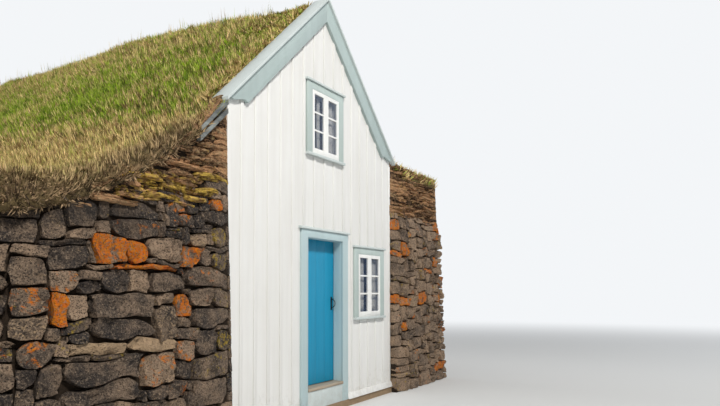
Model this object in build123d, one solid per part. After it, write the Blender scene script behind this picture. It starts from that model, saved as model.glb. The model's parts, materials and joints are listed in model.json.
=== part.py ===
from build123d import *
import math
import os

# Turf house with a timber gable front between thick walls of rubble stone and turf.
# Millimetres. X runs along the front to the right, Y goes into the house, Z is up.
# The origin is on the ground under the middle of the front, in the plane of its boards.

# Main sizes
FRONT_WIDTH = 4000
EAVES_HEIGHT = 3835
ROOF_PITCH = 43.5
ROOM_DEPTH = 7900
PARTY_WALL = 2000
FLANK_WALL = 2800
REAR_WALL = 2550

# Stone and turf walls
FRONT_STEP = 120
FRONT_BATTER = 150
FLANK_BATTER = 400
REAR_BATTER = 350
BATTER_HEIGHT = 4200
CORNER_RADIUS = 650
STONE_BELOW_EAVES = 985
STONE_BELOW_EDGE = 70
STONE_BELOW_REAR_EDGE = 50
PARTY_STONE_BELOW_EAVES = 1035
PARTY_TURF_BELOW_EAVES = 235
PARTY_BEND = 350

# Turf roof
TURF_THICKNESS = 280
CREST_RADIUS = 370
FLANK_BEND = 400
EDGE_BELOW_EAVES = 1565
EDGE_INSET = 100
EDGE_THICKNESS = 390
LIP_OVERHANG = 100
NOSE_TOP_RISE = 0.75
NOSE_RISE = 0.45
NOSE_FOOT_RISE = 0.15
NOSE_FOOT_REACH = 0.8
TURF_FRONT = 60
REAR_PITCH = 60
REAR_BEND_BELOW_EAVES = 135
REAR_EDGE_BELOW_EAVES = 1485
RIDGE_DIP = 290
RIDGE_DIP_MIDDLE = 130
RIDGE_RISE_LENGTH = 3900
RIDGE_RISE_MIDDLE = 1365
REAR_ROUNDING = 1100
REAR_ROUNDING_BACK = 330

# Low waves in which the settled turf lies
WAVE_HEIGHT = 22
SLOPE_WAVE_LENGTH = 740
RIDGE_WAVE_LENGTH = 1480

# Straight steps along each line and curve of the mound
CREST_STEPS = 6
SWEEP_STEPS = 10
WAVY_STEPS = 24

# Roof timbers
BOARD_THICKNESS = 30
RAFTER_DEPTH = 130
RAFTER_WIDTH = 80
COLLAR_BELOW_APEX = 883
COLLAR_DEPTH = 120
COLLAR_WIDTH = 40
PAIR_COUNT = 8
PLATE_SIZE = 120
PLATE_BELOW_EAVES = 135
POST_SIZE = 120

# Floors
GROUND_FLOOR_TOP = 350
LOFT_FLOOR_TOP = 2830
FLOOR_THICKNESS = 30
LOFT_JOIST_DEPTH = 180
LOFT_JOIST_WIDTH = 90
FLOOR_JOIST_DEPTH = 140
FLOOR_JOIST_WIDTH = 70
FLOOR_JOIST_COUNT = 12
BEARER_WIDTH = 150
BEARER_REACH = 1600
HATCH_WIDTH = 750
HATCH_LENGTH = 950
HATCH_FROM_WALL = 500

# Timber front
PLINTH_HEIGHT = 100
PLINTH_STEP = 30
FRONT_THICKNESS = 150
BARGE_WIDTH = 215
BARGE_THICKNESS = 48
BARGE_HOLLOW_DROP = 17.5
BARGE_HOLLOW_RISE = 21
CAP_THICKNESS = 30
CAP_PROUD = 32
CAP_BACK = 180
CAP_END = 70
FLASHING_REACH = 480
FLASHING_THICKNESS = 40
FLASHING_GAP = 32
FLASHING_FRONT = 85
FLASHING_BACK = 115
BASE_BOARD_HEIGHT = 85
BASE_BOARD_DEPTH = 55
BASE_BOARD_TOP_DEPTH = 28

# Door
DOOR_WIDTH = 877
DOOR_HEAD = 2377
THRESHOLD_TOP = 383
THRESHOLD_THICKNESS = 40
THRESHOLD_ROUNDING = 10
THRESHOLD_PROUD = 45
JAMB_THICKNESS = 60
JAMB_INSIDE = 25
REBATE = 14
LEAF_THICKNESS = 40
LEAF_SET_BACK = 130
LEAF_GAP = 6
LEAF_LIFT = 7
STOP_GAP = 5
CASING_WIDTH = 147
CASING_THICKNESS = 34
CASING_REVEAL = 3
HEAD_CASING_HEIGHT = 106
CORNICE_OVERHANG = 33
CORNICE_THICKNESS = 33
CORNICE_CHAMFER = 11
CORNICE_PROUD = 57
RISER_PROUD = 30

# Door iron
PIN_RADIUS = 6
PIN_CLEARANCE = 0.3
EYE_WALL = 5.7
PIN_FROM_LEAF_EDGE = 10.5
STRAP_LENGTH = 520
STRAP_HEIGHT = 40
STRAP_TIP_HEIGHT = 22
STRAP_THICKNESS = 4
STRAP_FROM_END = 280
PINTLE_PLATE = 5
PINTLE_PLATE_HEIGHT = 120
PINTLE_GAP = 2
PINTLE_ARM_HEIGHT = 20
PINTLE_ARM_RADIUS = 7
HANDLE_HEIGHT = 1490
HANDLE_FROM_EDGE = 62
HANDLE_PLATE_WIDTH = 34
HANDLE_PLATE_LENGTH = 190
HANDLE_PLATE_THICKNESS = 4
HANDLE_REACH = 62
HANDLE_SPAN = 120
HANDLE_ROD_RADIUS = 6
HANDLE_ROD_SIDES = 8
THUMB_WIDTH = 30
THUMB_LENGTH = 38
THUMB_THICKNESS = 4

# Windows: centre, sill and head of each sash
LOWER_WINDOW_X = 1258
LOWER_SASH_BOTTOM = 1274
LOWER_SASH_TOP = 2225
LOWER_SASH_WIDTH = 706
UPPER_WINDOW_X = 0
UPPER_SASH_BOTTOM = 3521
UPPER_SASH_TOP = 4391
UPPER_SASH_WIDTH = 680
WINDOW_CASING_WIDTH = 122
WINDOW_CASING_THICKNESS = 34
WINDOW_HEAD_CASING = 98
WINDOW_CAP_HEIGHT = 28
WINDOW_CAP_PROUD = 57
WINDOW_CAP_OVERHANG = 28
WINDOW_SILL_HEIGHT = 35
WINDOW_SILL_PROUD = 62
WINDOW_SILL_OVERHANG = 12
SASH_THICKNESS = 31
SASH_SEAT = 20
SASH_STILE = 55
SASH_TOP_RAIL = 53
SASH_BOTTOM_RAIL = 80
MEETING_STILE = 120
GLASS_THICKNESS = 4
GLASS_SET_BACK = 14

# Sizes that follow from the ones above
EDGE_HEIGHT = EAVES_HEIGHT - EDGE_BELOW_EAVES
REAR_EDGE_HEIGHT = EAVES_HEIGHT - REAR_EDGE_BELOW_EAVES
REAR_BEND_HEIGHT = EAVES_HEIGHT - REAR_BEND_BELOW_EAVES
STONE_TOP_INSIDE = EAVES_HEIGHT - STONE_BELOW_EAVES
STONE_TOP_FLANK = EDGE_HEIGHT - STONE_BELOW_EDGE
STONE_TOP_REAR = REAR_EDGE_HEIGHT - STONE_BELOW_REAR_EDGE
PARTY_STONE_TOP = EAVES_HEIGHT - PARTY_STONE_BELOW_EAVES
PARTY_TURF_TOP = EAVES_HEIGHT - PARTY_TURF_BELOW_EAVES
PLATE_TOP = EAVES_HEIGHT - PLATE_BELOW_EAVES
HALF_FRONT = FRONT_WIDTH / 2
SLOPE = math.tan(math.radians(ROOF_PITCH))
STRETCH = 1 / math.cos(math.radians(ROOF_PITCH))
APEX_HEIGHT = EAVES_HEIGHT + HALF_FRONT * SLOPE
COLLAR_BOTTOM = APEX_HEIGHT - COLLAR_BELOW_APEX
TURF_DROP = TURF_THICKNESS * STRETCH
FLANK_X = -HALF_FRONT - FLANK_WALL
PARTY_X = HALF_FRONT + PARTY_WALL
REAR_Y = ROOM_DEPTH + REAR_WALL
EDGE_X = FLANK_X + EDGE_INSET
EDGE_Y = REAR_Y - EDGE_INSET
LIP_X = EDGE_X - LIP_OVERHANG
LIP_Y = EDGE_Y + LIP_OVERHANG
CREST_HEIGHT = APEX_HEIGHT + TURF_DROP - CREST_RADIUS * (STRETCH - 1)
FAR = 2 * (REAR_Y + PARTY_X)
UPRIGHT = math.cos(math.radians(20))
HALF_DOOR = DOOR_WIDTH / 2
HALF_REBATE = HALF_DOOR + REBATE
HALF_LEAF = HALF_REBATE - LEAF_GAP
HALF_FRAME = HALF_DOOR + JAMB_THICKNESS
FRAME_TOP = DOOR_HEAD + JAMB_THICKNESS
FRAME_BACK = FRONT_THICKNESS + JAMB_INSIDE
LEAF_BOTTOM = THRESHOLD_TOP + LEAF_LIFT
LEAF_TOP = DOOR_HEAD + REBATE - LEAF_GAP
LEAF_BACK = LEAF_SET_BACK + LEAF_THICKNESS
EYE_RADIUS = PIN_RADIUS + PIN_CLEARANCE + EYE_WALL
PIN_X = PIN_FROM_LEAF_EDGE - HALF_LEAF
PIN_Y = LEAF_BACK + EYE_RADIUS
STRAP_CENTRES = (LEAF_BOTTOM + STRAP_FROM_END, LEAF_TOP - STRAP_FROM_END)
DOOR_CASING_HALF = HALF_DOOR + CASING_REVEAL + CASING_WIDTH
DOOR_CASING_TOP = DOOR_HEAD + CASING_REVEAL + HEAD_CASING_HEIGHT
POST_PITCH = (ROOM_DEPTH - FRONT_THICKNESS - POST_SIZE) / (PAIR_COUNT - 1)
PAIR_CENTRES = [FRONT_THICKNESS + POST_SIZE / 2 + i * POST_PITCH for i in range(PAIR_COUNT)]
INNER_HALF = HALF_FRONT - POST_SIZE


# Basic solids
def block(x, y, z):
    """A box between the low and high ends given for each axis."""
    size = (x[1] - x[0], y[1] - y[0], z[1] - z[0])
    middle = ((x[0] + x[1]) / 2, (y[0] + y[1]) / 2, (z[0] + z[1]) / 2)
    return Pos(*middle) * Box(*size)


def polygon_xz(points):
    return make_face(Polyline(*[(x, 0, z) for x, z in points], close=True))


def polygon_yz(points):
    return make_face(Polyline(*[(0, y, z) for y, z in points], close=True))


def along_y(face, low, high):
    return Pos(0, low, 0) * extrude(face, amount=high - low, dir=(0, 1, 0))


def along_x(face, low, high):
    return Pos(low, 0, 0) * extrude(face, amount=high - low, dir=(1, 0, 0))


def upright(centre_x, centre_y, low, high, radius):
    return Pos(centre_x, centre_y, (low + high) / 2) * Cylinder(radius, high - low)


def mirrored(solid):
    return mirror(solid, about=Plane.YZ)


# Shared outlines of the mound
def slope_line(offset, x):
    """Height of the roof slope at x, raised by offset."""
    return APEX_HEIGHT + offset - SLOPE * abs(x)


def curve_points(curve, steps):
    """Points evenly spaced along a flat curve, both ends included."""
    places = [curve @ (i / steps) for i in range(steps + 1)]
    return [(place.X, place.Y) for place in places]


def in_waves(points, wave_length):
    """The points of a flat curve, moved up and down in waves that fade at both ends."""
    run = 0
    moved = [points[0]]
    for i in range(1, len(points)):
        run += math.dist(points[i - 1], points[i])
        fade = math.sin(math.pi * i / (len(points) - 1))
        lift = WAVE_HEIGHT * fade * math.sin(math.tau * run / wave_length)
        moved.append((points[i][0], points[i][1] + lift))
    return moved


def slope_direction(pitch):
    """Direction down to the left at a pitch, in a cross-section drawn flat."""
    return (-math.cos(math.radians(pitch)), -math.sin(math.radians(pitch)))


def turf_edge(edge, bottom):
    """Shoulder, lip and underside points of the turf roof's rounded outer edge."""
    shoulder = (edge + LIP_OVERHANG, bottom + EDGE_THICKNESS)
    nose_top = (edge - LIP_OVERHANG / 2, bottom + EDGE_THICKNESS * NOSE_TOP_RISE)
    nose = (edge - LIP_OVERHANG, bottom + EDGE_THICKNESS * NOSE_RISE)
    nose_foot = (edge - LIP_OVERHANG * NOSE_FOOT_REACH, bottom + EDGE_THICKNESS * NOSE_FOOT_RISE)
    return [shoulder, nose_top, nose, nose_foot, (edge, bottom)]


def drawn_upright(points):
    """Face in the plane across the ridge from flat points."""
    return polygon_xz([(point[0], point[1]) for point in points])


def drawn_along(points):
    """Face in the plane along the ridge from flat points whose first number runs to the front."""
    return polygon_yz([(-point[0], point[1]) for point in points])


def mound_section(dip):
    """Cross-section of the whole turf mound where its slopes lie lower by a dip, seen from the front."""
    rise = TURF_DROP - dip
    bend_x = -HALF_FRONT - FLANK_BEND
    bend = (bend_x, slope_line(rise, bend_x))
    crest_x = CREST_RADIUS * math.sin(math.radians(ROOF_PITCH))
    crest_z = slope_line(rise, crest_x)
    crest = ThreePointArc((crest_x, crest_z), (0, CREST_HEIGHT - dip), (-crest_x, crest_z))
    edge = turf_edge(EDGE_X, EDGE_HEIGHT)
    flank = TangentArc(bend, edge[0], tangent=slope_direction(ROOF_PITCH))
    valley_z = PARTY_TURF_TOP + TURF_THICKNESS
    valley_x = (APEX_HEIGHT + rise - valley_z) / SLOPE
    valley_rise = (valley_x - PARTY_BEND * math.cos(math.radians(ROOF_PITCH)),
                   valley_z + PARTY_BEND * math.sin(math.radians(ROOF_PITCH)))
    valley = TangentArc((valley_x + PARTY_BEND, valley_z), valley_rise, tangent=(-1, 0))
    left_slope = curve_points(Line((-crest_x, crest_z), bend), WAVY_STEPS)[:-1]
    left_slope += curve_points(flank, WAVY_STEPS)
    right_slope = curve_points(valley, CREST_STEPS)[:-1]
    right_slope += curve_points(Line(valley_rise, (crest_x, crest_z)), WAVY_STEPS)
    points = curve_points(crest, CREST_STEPS) + in_waves(left_slope, SLOPE_WAVE_LENGTH)[1:] + edge[1:]
    points += [(EDGE_X, 0), (PARTY_X, 0), (PARTY_X, valley_z)]
    points += in_waves(right_slope, SLOPE_WAVE_LENGTH)[:-1]
    return drawn_upright(points)


def swept_mound():
    """The mound's cross-section carried back from the gable, where the turf thins to meet the boards."""
    stations = [(-TURF_FRONT, RIDGE_DIP), (RIDGE_RISE_MIDDLE, RIDGE_DIP_MIDDLE), (RIDGE_RISE_LENGTH, 0),
                (LIP_Y, 0)]
    return loft([Pos(0, y, 0) * mound_section(dip) for y, dip in stations], ruled=True)


def core_section():
    """Cross-section of everything under the turf roof."""
    bend_x = -HALF_FRONT - FLANK_BEND
    bend = (bend_x, slope_line(0, bend_x))
    flank = TangentArc(bend, (EDGE_X, EDGE_HEIGHT), tangent=slope_direction(ROOF_PITCH))
    valley_x = (APEX_HEIGHT - PARTY_TURF_TOP) / SLOPE
    points = [(0, APEX_HEIGHT)] + curve_points(flank, SWEEP_STEPS)
    points += [(FLANK_X, EDGE_HEIGHT), (FLANK_X, 0), (PARTY_X, 0)]
    points += [(PARTY_X, PARTY_TURF_TOP), (valley_x, PARTY_TURF_TOP)]
    return drawn_upright(points)


def rear_slope(offset):
    """Points at the top and the bend of the rear slope, moved out by offset."""
    lean = math.radians(REAR_PITCH)
    top_z = APEX_HEIGHT + offset
    top_y = ROOM_DEPTH + offset / math.sin(lean)
    bend_z = REAR_BEND_HEIGHT + offset * math.cos(lean)
    bend_y = top_y + (top_z - bend_z) / math.tan(lean)
    return (-top_y, top_z), (-bend_y, bend_z)


def mound_profile():
    """Long section of the whole mound, drawn with its rear to the left."""
    top, bend = rear_slope(TURF_THICKNESS)
    edge = turf_edge(-EDGE_Y, REAR_EDGE_HEIGHT)
    lean = math.radians(REAR_PITCH)
    crest_end = (top[0] + REAR_ROUNDING, CREST_HEIGHT)
    slope_start = (top[0] - REAR_ROUNDING_BACK, top[1] - REAR_ROUNDING_BACK * math.tan(lean))
    brow = Spline(crest_end, slope_start, tangents=((-1, 0), slope_direction(REAR_PITCH)))
    rear = TangentArc(bend, edge[0], tangent=slope_direction(REAR_PITCH))
    ridge = Line((FRONT_STEP, CREST_HEIGHT), crest_end)
    rear_fall = curve_points(brow, CREST_STEPS)[:-1]
    rear_fall += curve_points(Line(slope_start, bend), WAVY_STEPS)[:-1] + curve_points(rear, WAVY_STEPS)
    points = [(FRONT_STEP, 0)] + in_waves(curve_points(ridge, WAVY_STEPS), RIDGE_WAVE_LENGTH)
    points += in_waves(rear_fall, SLOPE_WAVE_LENGTH)[1:] + edge[1:] + [(-EDGE_Y, 0)]
    return drawn_along(points)


def core_profile():
    """Long section of everything under the turf roof, drawn with its rear to the left."""
    top, bend = rear_slope(0)
    rear = TangentArc(bend, (-EDGE_Y, REAR_EDGE_HEIGHT), tangent=slope_direction(REAR_PITCH))
    points = [(FRONT_STEP, 0), (FRONT_STEP, APEX_HEIGHT), top] + curve_points(rear, SWEEP_STEPS)
    points += [(-REAR_Y, REAR_EDGE_HEIGHT), (-REAR_Y, 0)]
    return drawn_along(points)


def rounded_left(solid, radius):
    """The solid with its two left upright corners rounded."""
    corners = [edge for edge in solid.edges()
               if edge.center().X < -HALF_FRONT and abs((edge % 0.5).Z) > UPRIGHT]
    return fillet(corners, radius)


def battered_mass():
    """The walls' outer form: each outside face leans in towards its top."""
    section = polygon_xz([(FLANK_X, 0), (PARTY_X, 0), (PARTY_X, BATTER_HEIGHT),
                          (FLANK_X + FLANK_BATTER, BATTER_HEIGHT)])
    profile = polygon_yz([(-FRONT_STEP, 0), (REAR_Y, 0), (REAR_Y - REAR_BATTER, BATTER_HEIGHT),
                          (FRONT_BATTER - FRONT_STEP, BATTER_HEIGHT)])
    mass = along_y(section, -FRONT_STEP, REAR_Y) & along_x(profile, FLANK_X, PARTY_X)
    return rounded_left(mass, CORNER_RADIUS)


def core_mound():
    """Everything under the turf roof, as one form."""
    section = along_y(core_section(), -FRONT_STEP, REAR_Y)
    return section & along_x(core_profile(), FLANK_X, PARTY_X)


def stone_top_block():
    """All space under the top course of the stonework."""
    section = polygon_xz([
        (FLANK_X, 0), (PARTY_X, 0), (PARTY_X, PARTY_STONE_TOP), (HALF_FRONT, PARTY_STONE_TOP),
        (HALF_FRONT, STONE_TOP_INSIDE), (-HALF_FRONT, STONE_TOP_INSIDE), (FLANK_X, STONE_TOP_FLANK)])
    profile = polygon_yz([
        (-FRONT_STEP, 0), (REAR_Y, 0), (REAR_Y, STONE_TOP_REAR), (ROOM_DEPTH, STONE_TOP_INSIDE),
        (-FRONT_STEP, STONE_TOP_INSIDE)])
    return along_y(section, -FRONT_STEP, REAR_Y) & along_x(profile, FLANK_X, PARTY_X)


def wall_zones():
    """Plan zones of the left, right and rear walls."""
    height = (0, FAR)
    left = block((FLANK_X - FAR, -HALF_FRONT), (-FAR, FAR), height)
    right = block((HALF_FRONT, PARTY_X), (-FAR, FAR), height)
    rear = block((-HALF_FRONT, HALF_FRONT), (ROOM_DEPTH, FAR), height)
    return {"left": left, "right": right, "rear": rear}


# Walls
def stone_and_turf_walls():
    walls = battered_mass() & core_mound()
    stones = walls & stone_top_block()
    turf = walls - stone_top_block()
    pieces = {}
    for side, zone in wall_zones().items():
        pieces[side + "_wall_stone"] = stones & zone
        pieces[side + "_wall_turf"] = turf & zone
    for plank in flashing_planks():
        pieces["left_wall_turf"] = pieces["left_wall_turf"] - plank
    return pieces


def front_footing():
    return block((-HALF_FRONT, HALF_FRONT), (-PLINTH_STEP, FRONT_THICKNESS), (0, PLINTH_HEIGHT))


# Turf roof
def turf_roof():
    outline = rounded_left(block((LIP_X, PARTY_X), (-TURF_FRONT, LIP_Y), (0, FAR)), CORNER_RADIUS)
    mound = swept_mound() & along_x(mound_profile(), LIP_X, PARTY_X)
    roof = (mound & outline) - core_mound()
    cap_half = HALF_FRONT + CAP_END
    roof = roof - block((-cap_half, cap_half), (-FAR, CAP_BACK), (0, FAR))
    below = block((-FAR, FAR), (-FAR, FAR), (-FAR, min(EDGE_HEIGHT, REAR_EDGE_HEIGHT)))
    roof = roof - below
    front = block((-FAR, FAR), (-FAR, ROOM_DEPTH), (0, FAR))
    left = block((-FAR, 0), (-FAR, FAR), (0, FAR))
    return {
        "roof_turf_left": roof & front & left,
        "roof_turf_right": (roof & front) - left,
        "roof_turf_rear": roof - front,
    }


# Roof timbers
def slope_strip(outer, inner, foot_x):
    """Band of the left slope between two depths under the roof line, cut plumb at its foot."""
    return polygon_xz([
        (0, slope_line(-outer * STRETCH, 0)), (-foot_x, slope_line(-outer * STRETCH, foot_x)),
        (-foot_x, slope_line(-inner * STRETCH, foot_x)), (0, slope_line(-inner * STRETCH, 0))])


def roof_boards_left():
    return along_y(slope_strip(0, BOARD_THICKNESS, HALF_FRONT), FRONT_THICKNESS, ROOM_DEPTH)


def rafters_left():
    """Rafters with a level seat where they rest on the wall plate."""
    band = slope_strip(BOARD_THICKNESS, BOARD_THICKNESS + RAFTER_DEPTH, HALF_FRONT)
    above_plate = block((-HALF_FRONT, 0), (0, ROOM_DEPTH), (PLATE_TOP, APEX_HEIGHT))
    rafters = []
    for centre in PAIR_CENTRES:
        rafter = along_y(band, centre - RAFTER_WIDTH / 2, centre + RAFTER_WIDTH / 2)
        rafters.append(rafter & above_plate)
    return Compound(children=rafters)


def collar_ties():
    """One tie on the back of each rafter pair, cut to the slope at both ends."""
    top = COLLAR_BOTTOM + COLLAR_DEPTH
    under_boards = APEX_HEIGHT - BOARD_THICKNESS * STRETCH
    low_x = (under_boards - COLLAR_BOTTOM) / SLOPE
    high_x = (under_boards - top) / SLOPE
    shape = polygon_xz([(-low_x, COLLAR_BOTTOM), (low_x, COLLAR_BOTTOM), (high_x, top), (-high_x, top)])
    ties = []
    for centre in PAIR_CENTRES[:-1]:
        face_y = centre + RAFTER_WIDTH / 2
        ties.append(along_y(shape, face_y, face_y + COLLAR_WIDTH))
    last = PAIR_CENTRES[-1] - RAFTER_WIDTH / 2
    ties.append(along_y(shape, last - COLLAR_WIDTH, last))
    return Compound(children=ties)


def wall_plates():
    plate = block((-HALF_FRONT, PLATE_SIZE - HALF_FRONT), (FRONT_THICKNESS, ROOM_DEPTH),
                  (PLATE_TOP - PLATE_SIZE, PLATE_TOP))
    return Compound(children=[plate, mirrored(plate)])


def side_posts():
    posts = []
    for centre in PAIR_CENTRES:
        y = (centre - POST_SIZE / 2, centre + POST_SIZE / 2)
        post = block((-HALF_FRONT, -INNER_HALF), y, (0, PLATE_TOP - PLATE_SIZE))
        posts.extend([post, mirrored(post)])
    return Compound(children=posts)


# Floors
def loft_joists():
    top = LOFT_FLOOR_TOP - FLOOR_THICKNESS
    joists = []
    for centre in PAIR_CENTRES:
        y = (centre - LOFT_JOIST_WIDTH / 2, centre + LOFT_JOIST_WIDTH / 2)
        joists.append(block((-INNER_HALF, INNER_HALF), y, (top - LOFT_JOIST_DEPTH, top)))
    return Compound(children=joists)


def loft_floor():
    """Loft boards, with a hatch between two joists near the back."""
    z = (LOFT_FLOOR_TOP - FLOOR_THICKNESS, LOFT_FLOOR_TOP)
    floor = block((-INNER_HALF, INNER_HALF), (FRONT_THICKNESS, ROOM_DEPTH), z)
    hatch_x = INNER_HALF - HATCH_FROM_WALL
    bay = PAIR_CENTRES[-2] - POST_PITCH / 2
    hatch_y = (bay - HATCH_LENGTH / 2, bay + HATCH_LENGTH / 2)
    return floor - block((hatch_x - HATCH_WIDTH, hatch_x), hatch_y, z)


def floor_bearers():
    top = GROUND_FLOOR_TOP - FLOOR_THICKNESS - FLOOR_JOIST_DEPTH
    bearers = []
    for x in (-BEARER_REACH, 0, BEARER_REACH):
        across = (x - BEARER_WIDTH / 2, x + BEARER_WIDTH / 2)
        bearers.append(block(across, (FRAME_BACK, ROOM_DEPTH), (0, top)))
    return Compound(children=bearers)


def floor_joists():
    top = GROUND_FLOOR_TOP - FLOOR_THICKNESS
    run = ROOM_DEPTH - FRAME_BACK - FLOOR_JOIST_WIDTH
    joists = []
    for i in range(FLOOR_JOIST_COUNT):
        low = FRAME_BACK + run * i / (FLOOR_JOIST_COUNT - 1)
        joists.append(block((-INNER_HALF, INNER_HALF), (low, low + FLOOR_JOIST_WIDTH),
                            (top - FLOOR_JOIST_DEPTH, top)))
    return Compound(children=joists)


def ground_floor():
    z = (GROUND_FLOOR_TOP - FLOOR_THICKNESS, GROUND_FLOOR_TOP)
    return block((-INNER_HALF, INNER_HALF), (FRAME_BACK, ROOM_DEPTH), z)


# Timber front
def window_hole(centre, width, bottom, top):
    half = width / 2 - SASH_SEAT
    return block((centre - half, centre + half), (0, FRONT_THICKNESS), (bottom + SASH_SEAT, top - SASH_SEAT))


def front_wall_left():
    return block((-HALF_FRONT, -HALF_FRAME), (0, FRONT_THICKNESS), (PLINTH_HEIGHT, FRAME_TOP))


def front_wall_right():
    wall = block((HALF_FRAME, HALF_FRONT), (0, FRONT_THICKNESS), (PLINTH_HEIGHT, FRAME_TOP))
    return wall - window_hole(LOWER_WINDOW_X, LOWER_SASH_WIDTH, LOWER_SASH_BOTTOM, LOWER_SASH_TOP)


def front_wall_gable():
    shape = polygon_xz([
        (-HALF_FRONT, FRAME_TOP), (HALF_FRONT, FRAME_TOP), (HALF_FRONT, EAVES_HEIGHT),
        (0, APEX_HEIGHT), (-HALF_FRONT, EAVES_HEIGHT)])
    wall = along_y(shape, 0, FRONT_THICKNESS)
    return wall - window_hole(UPPER_WINDOW_X, UPPER_SASH_WIDTH, UPPER_SASH_BOTTOM, UPPER_SASH_TOP)


def bargeboard_left():
    """Sloping board whose level foot is shaped as a small ogee."""
    inner_drop = BARGE_WIDTH * STRETCH
    foot_inner_x = HALF_FRONT - inner_drop / SLOPE
    middle_x = (HALF_FRONT + foot_inner_x) / 2
    edges = [
        Line((0, 0, APEX_HEIGHT), (-HALF_FRONT, 0, EAVES_HEIGHT)),
        Spline((-HALF_FRONT, 0, EAVES_HEIGHT),
               (-(HALF_FRONT + middle_x) / 2, 0, EAVES_HEIGHT - BARGE_HOLLOW_DROP),
               (-(foot_inner_x + middle_x) / 2, 0, EAVES_HEIGHT + BARGE_HOLLOW_RISE),
               (-foot_inner_x, 0, EAVES_HEIGHT)),
        Line((-foot_inner_x, 0, EAVES_HEIGHT), (0, 0, APEX_HEIGHT - inner_drop)),
        Line((0, 0, APEX_HEIGHT - inner_drop), (0, 0, APEX_HEIGHT)),
    ]
    return along_y(make_face(edges), -BARGE_THICKNESS, 0)


def verge_cap_left():
    """Board along the top of the roof edge, over the bargeboard and the gable wall."""
    end_x = HALF_FRONT + CAP_END
    rise = CAP_THICKNESS * STRETCH
    shape = polygon_xz([
        (0, APEX_HEIGHT), (-end_x, slope_line(0, end_x)), (-end_x, slope_line(rise, end_x)),
        (0, APEX_HEIGHT + rise)])
    return along_y(shape, -BARGE_THICKNESS - CAP_PROUD, CAP_BACK)


def flashing_planks():
    """Two sloping planks, one above the other, that carry the roof line over the wall's end."""
    planks = []
    far_x = HALF_FRONT + FLASHING_REACH
    for top in (0, -(FLASHING_THICKNESS + FLASHING_GAP) * STRETCH):
        bottom = top - FLASHING_THICKNESS * STRETCH
        shape = polygon_xz([
            (-HALF_FRONT, slope_line(top, HALF_FRONT)), (-far_x, slope_line(top, far_x)),
            (-far_x, slope_line(bottom, far_x)), (-HALF_FRONT, slope_line(bottom, HALF_FRONT))])
        planks.append(along_y(shape, -FLASHING_FRONT, FLASHING_BACK))
    return planks


def wall_flashing():
    return Compound(children=flashing_planks())


def base_boards():
    """Sloping-topped boards at the foot of the front, one each side of the door casing."""
    shape = polygon_yz([
        (0, PLINTH_HEIGHT), (-BASE_BOARD_DEPTH, PLINTH_HEIGHT),
        (-BASE_BOARD_TOP_DEPTH, PLINTH_HEIGHT + BASE_BOARD_HEIGHT), (0, PLINTH_HEIGHT + BASE_BOARD_HEIGHT)])
    right = along_x(shape, DOOR_CASING_HALF, HALF_FRONT)
    left = along_x(shape, -HALF_FRONT, -DOOR_CASING_HALF)
    return Compound(children=[left, right])


# Door
def door_frame():
    """Two jambs and a head, rebated on the inside for the leaf."""
    outer = block((-HALF_FRAME, HALF_FRAME), (0, FRAME_BACK), (PLINTH_HEIGHT, FRAME_TOP))
    stop_y = LEAF_SET_BACK - STOP_GAP
    passage = block((-HALF_DOOR, HALF_DOOR), (0, stop_y), (PLINTH_HEIGHT, DOOR_HEAD))
    rebate = block((-HALF_REBATE, HALF_REBATE), (stop_y, FRAME_BACK), (THRESHOLD_TOP, DOOR_HEAD + REBATE))
    under = block((-HALF_DOOR, HALF_DOOR), (stop_y, FRAME_BACK), (PLINTH_HEIGHT, THRESHOLD_TOP))
    return outer - passage - rebate - under


def door_casing():
    inner = HALF_DOOR + CASING_REVEAL
    outer = block((-DOOR_CASING_HALF, DOOR_CASING_HALF), (-CASING_THICKNESS, 0),
                  (PLINTH_HEIGHT, DOOR_CASING_TOP))
    return outer - block((-inner, inner), (-CASING_THICKNESS, 0), (PLINTH_HEIGHT, DOOR_HEAD + CASING_REVEAL))


def door_cornice():
    half = DOOR_CASING_HALF + CORNICE_OVERHANG
    z = (DOOR_CASING_TOP, DOOR_CASING_TOP + CORNICE_THICKNESS)
    board = block((-half, half), (-CORNICE_PROUD, 0), z)
    front_top = board.edges().filter_by(Axis.X).group_by(Axis.Z)[-1].sort_by(Axis.Y)[0]
    return chamfer(front_top, CORNICE_CHAMFER)


def door_threshold():
    board = block((-HALF_DOOR, HALF_DOOR), (-THRESHOLD_PROUD, FRAME_BACK),
                  (THRESHOLD_TOP - THRESHOLD_THICKNESS, THRESHOLD_TOP))
    nosing = board.edges().filter_by(Axis.X).group_by(Axis.Y)[0]
    return fillet(nosing, THRESHOLD_ROUNDING)


def door_riser():
    """Solid sill under the threshold, faced flush between the casings."""
    return block((-HALF_DOOR, HALF_DOOR), (-RISER_PROUD, FRONT_THICKNESS),
                 (PLINTH_HEIGHT, THRESHOLD_TOP - THRESHOLD_THICKNESS))


def door_leaf():
    return block((-HALF_LEAF, HALF_LEAF), (LEAF_SET_BACK, LEAF_BACK), (LEAF_BOTTOM, LEAF_TOP))


def hinge_straps():
    """Long tapered straps on the leaf's inside face, each rolled into an eye round its pin."""
    straps = []
    for centre in STRAP_CENTRES:
        half = STRAP_HEIGHT / 2
        tip = STRAP_TIP_HEIGHT / 2
        end = PIN_X + STRAP_LENGTH
        shape = polygon_xz([
            (PIN_X, centre - half), (end - tip, centre - tip), (end, centre),
            (end - tip, centre + tip), (PIN_X, centre + half)])
        flat = along_y(shape, LEAF_BACK, LEAF_BACK + STRAP_THICKNESS)
        eye = upright(PIN_X, PIN_Y, centre - half, centre + half, EYE_RADIUS)
        bore = upright(PIN_X, PIN_Y, centre - half, centre + half, PIN_RADIUS + PIN_CLEARANCE)
        straps.append((flat + eye) - bore)
    return Compound(children=straps)


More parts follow.
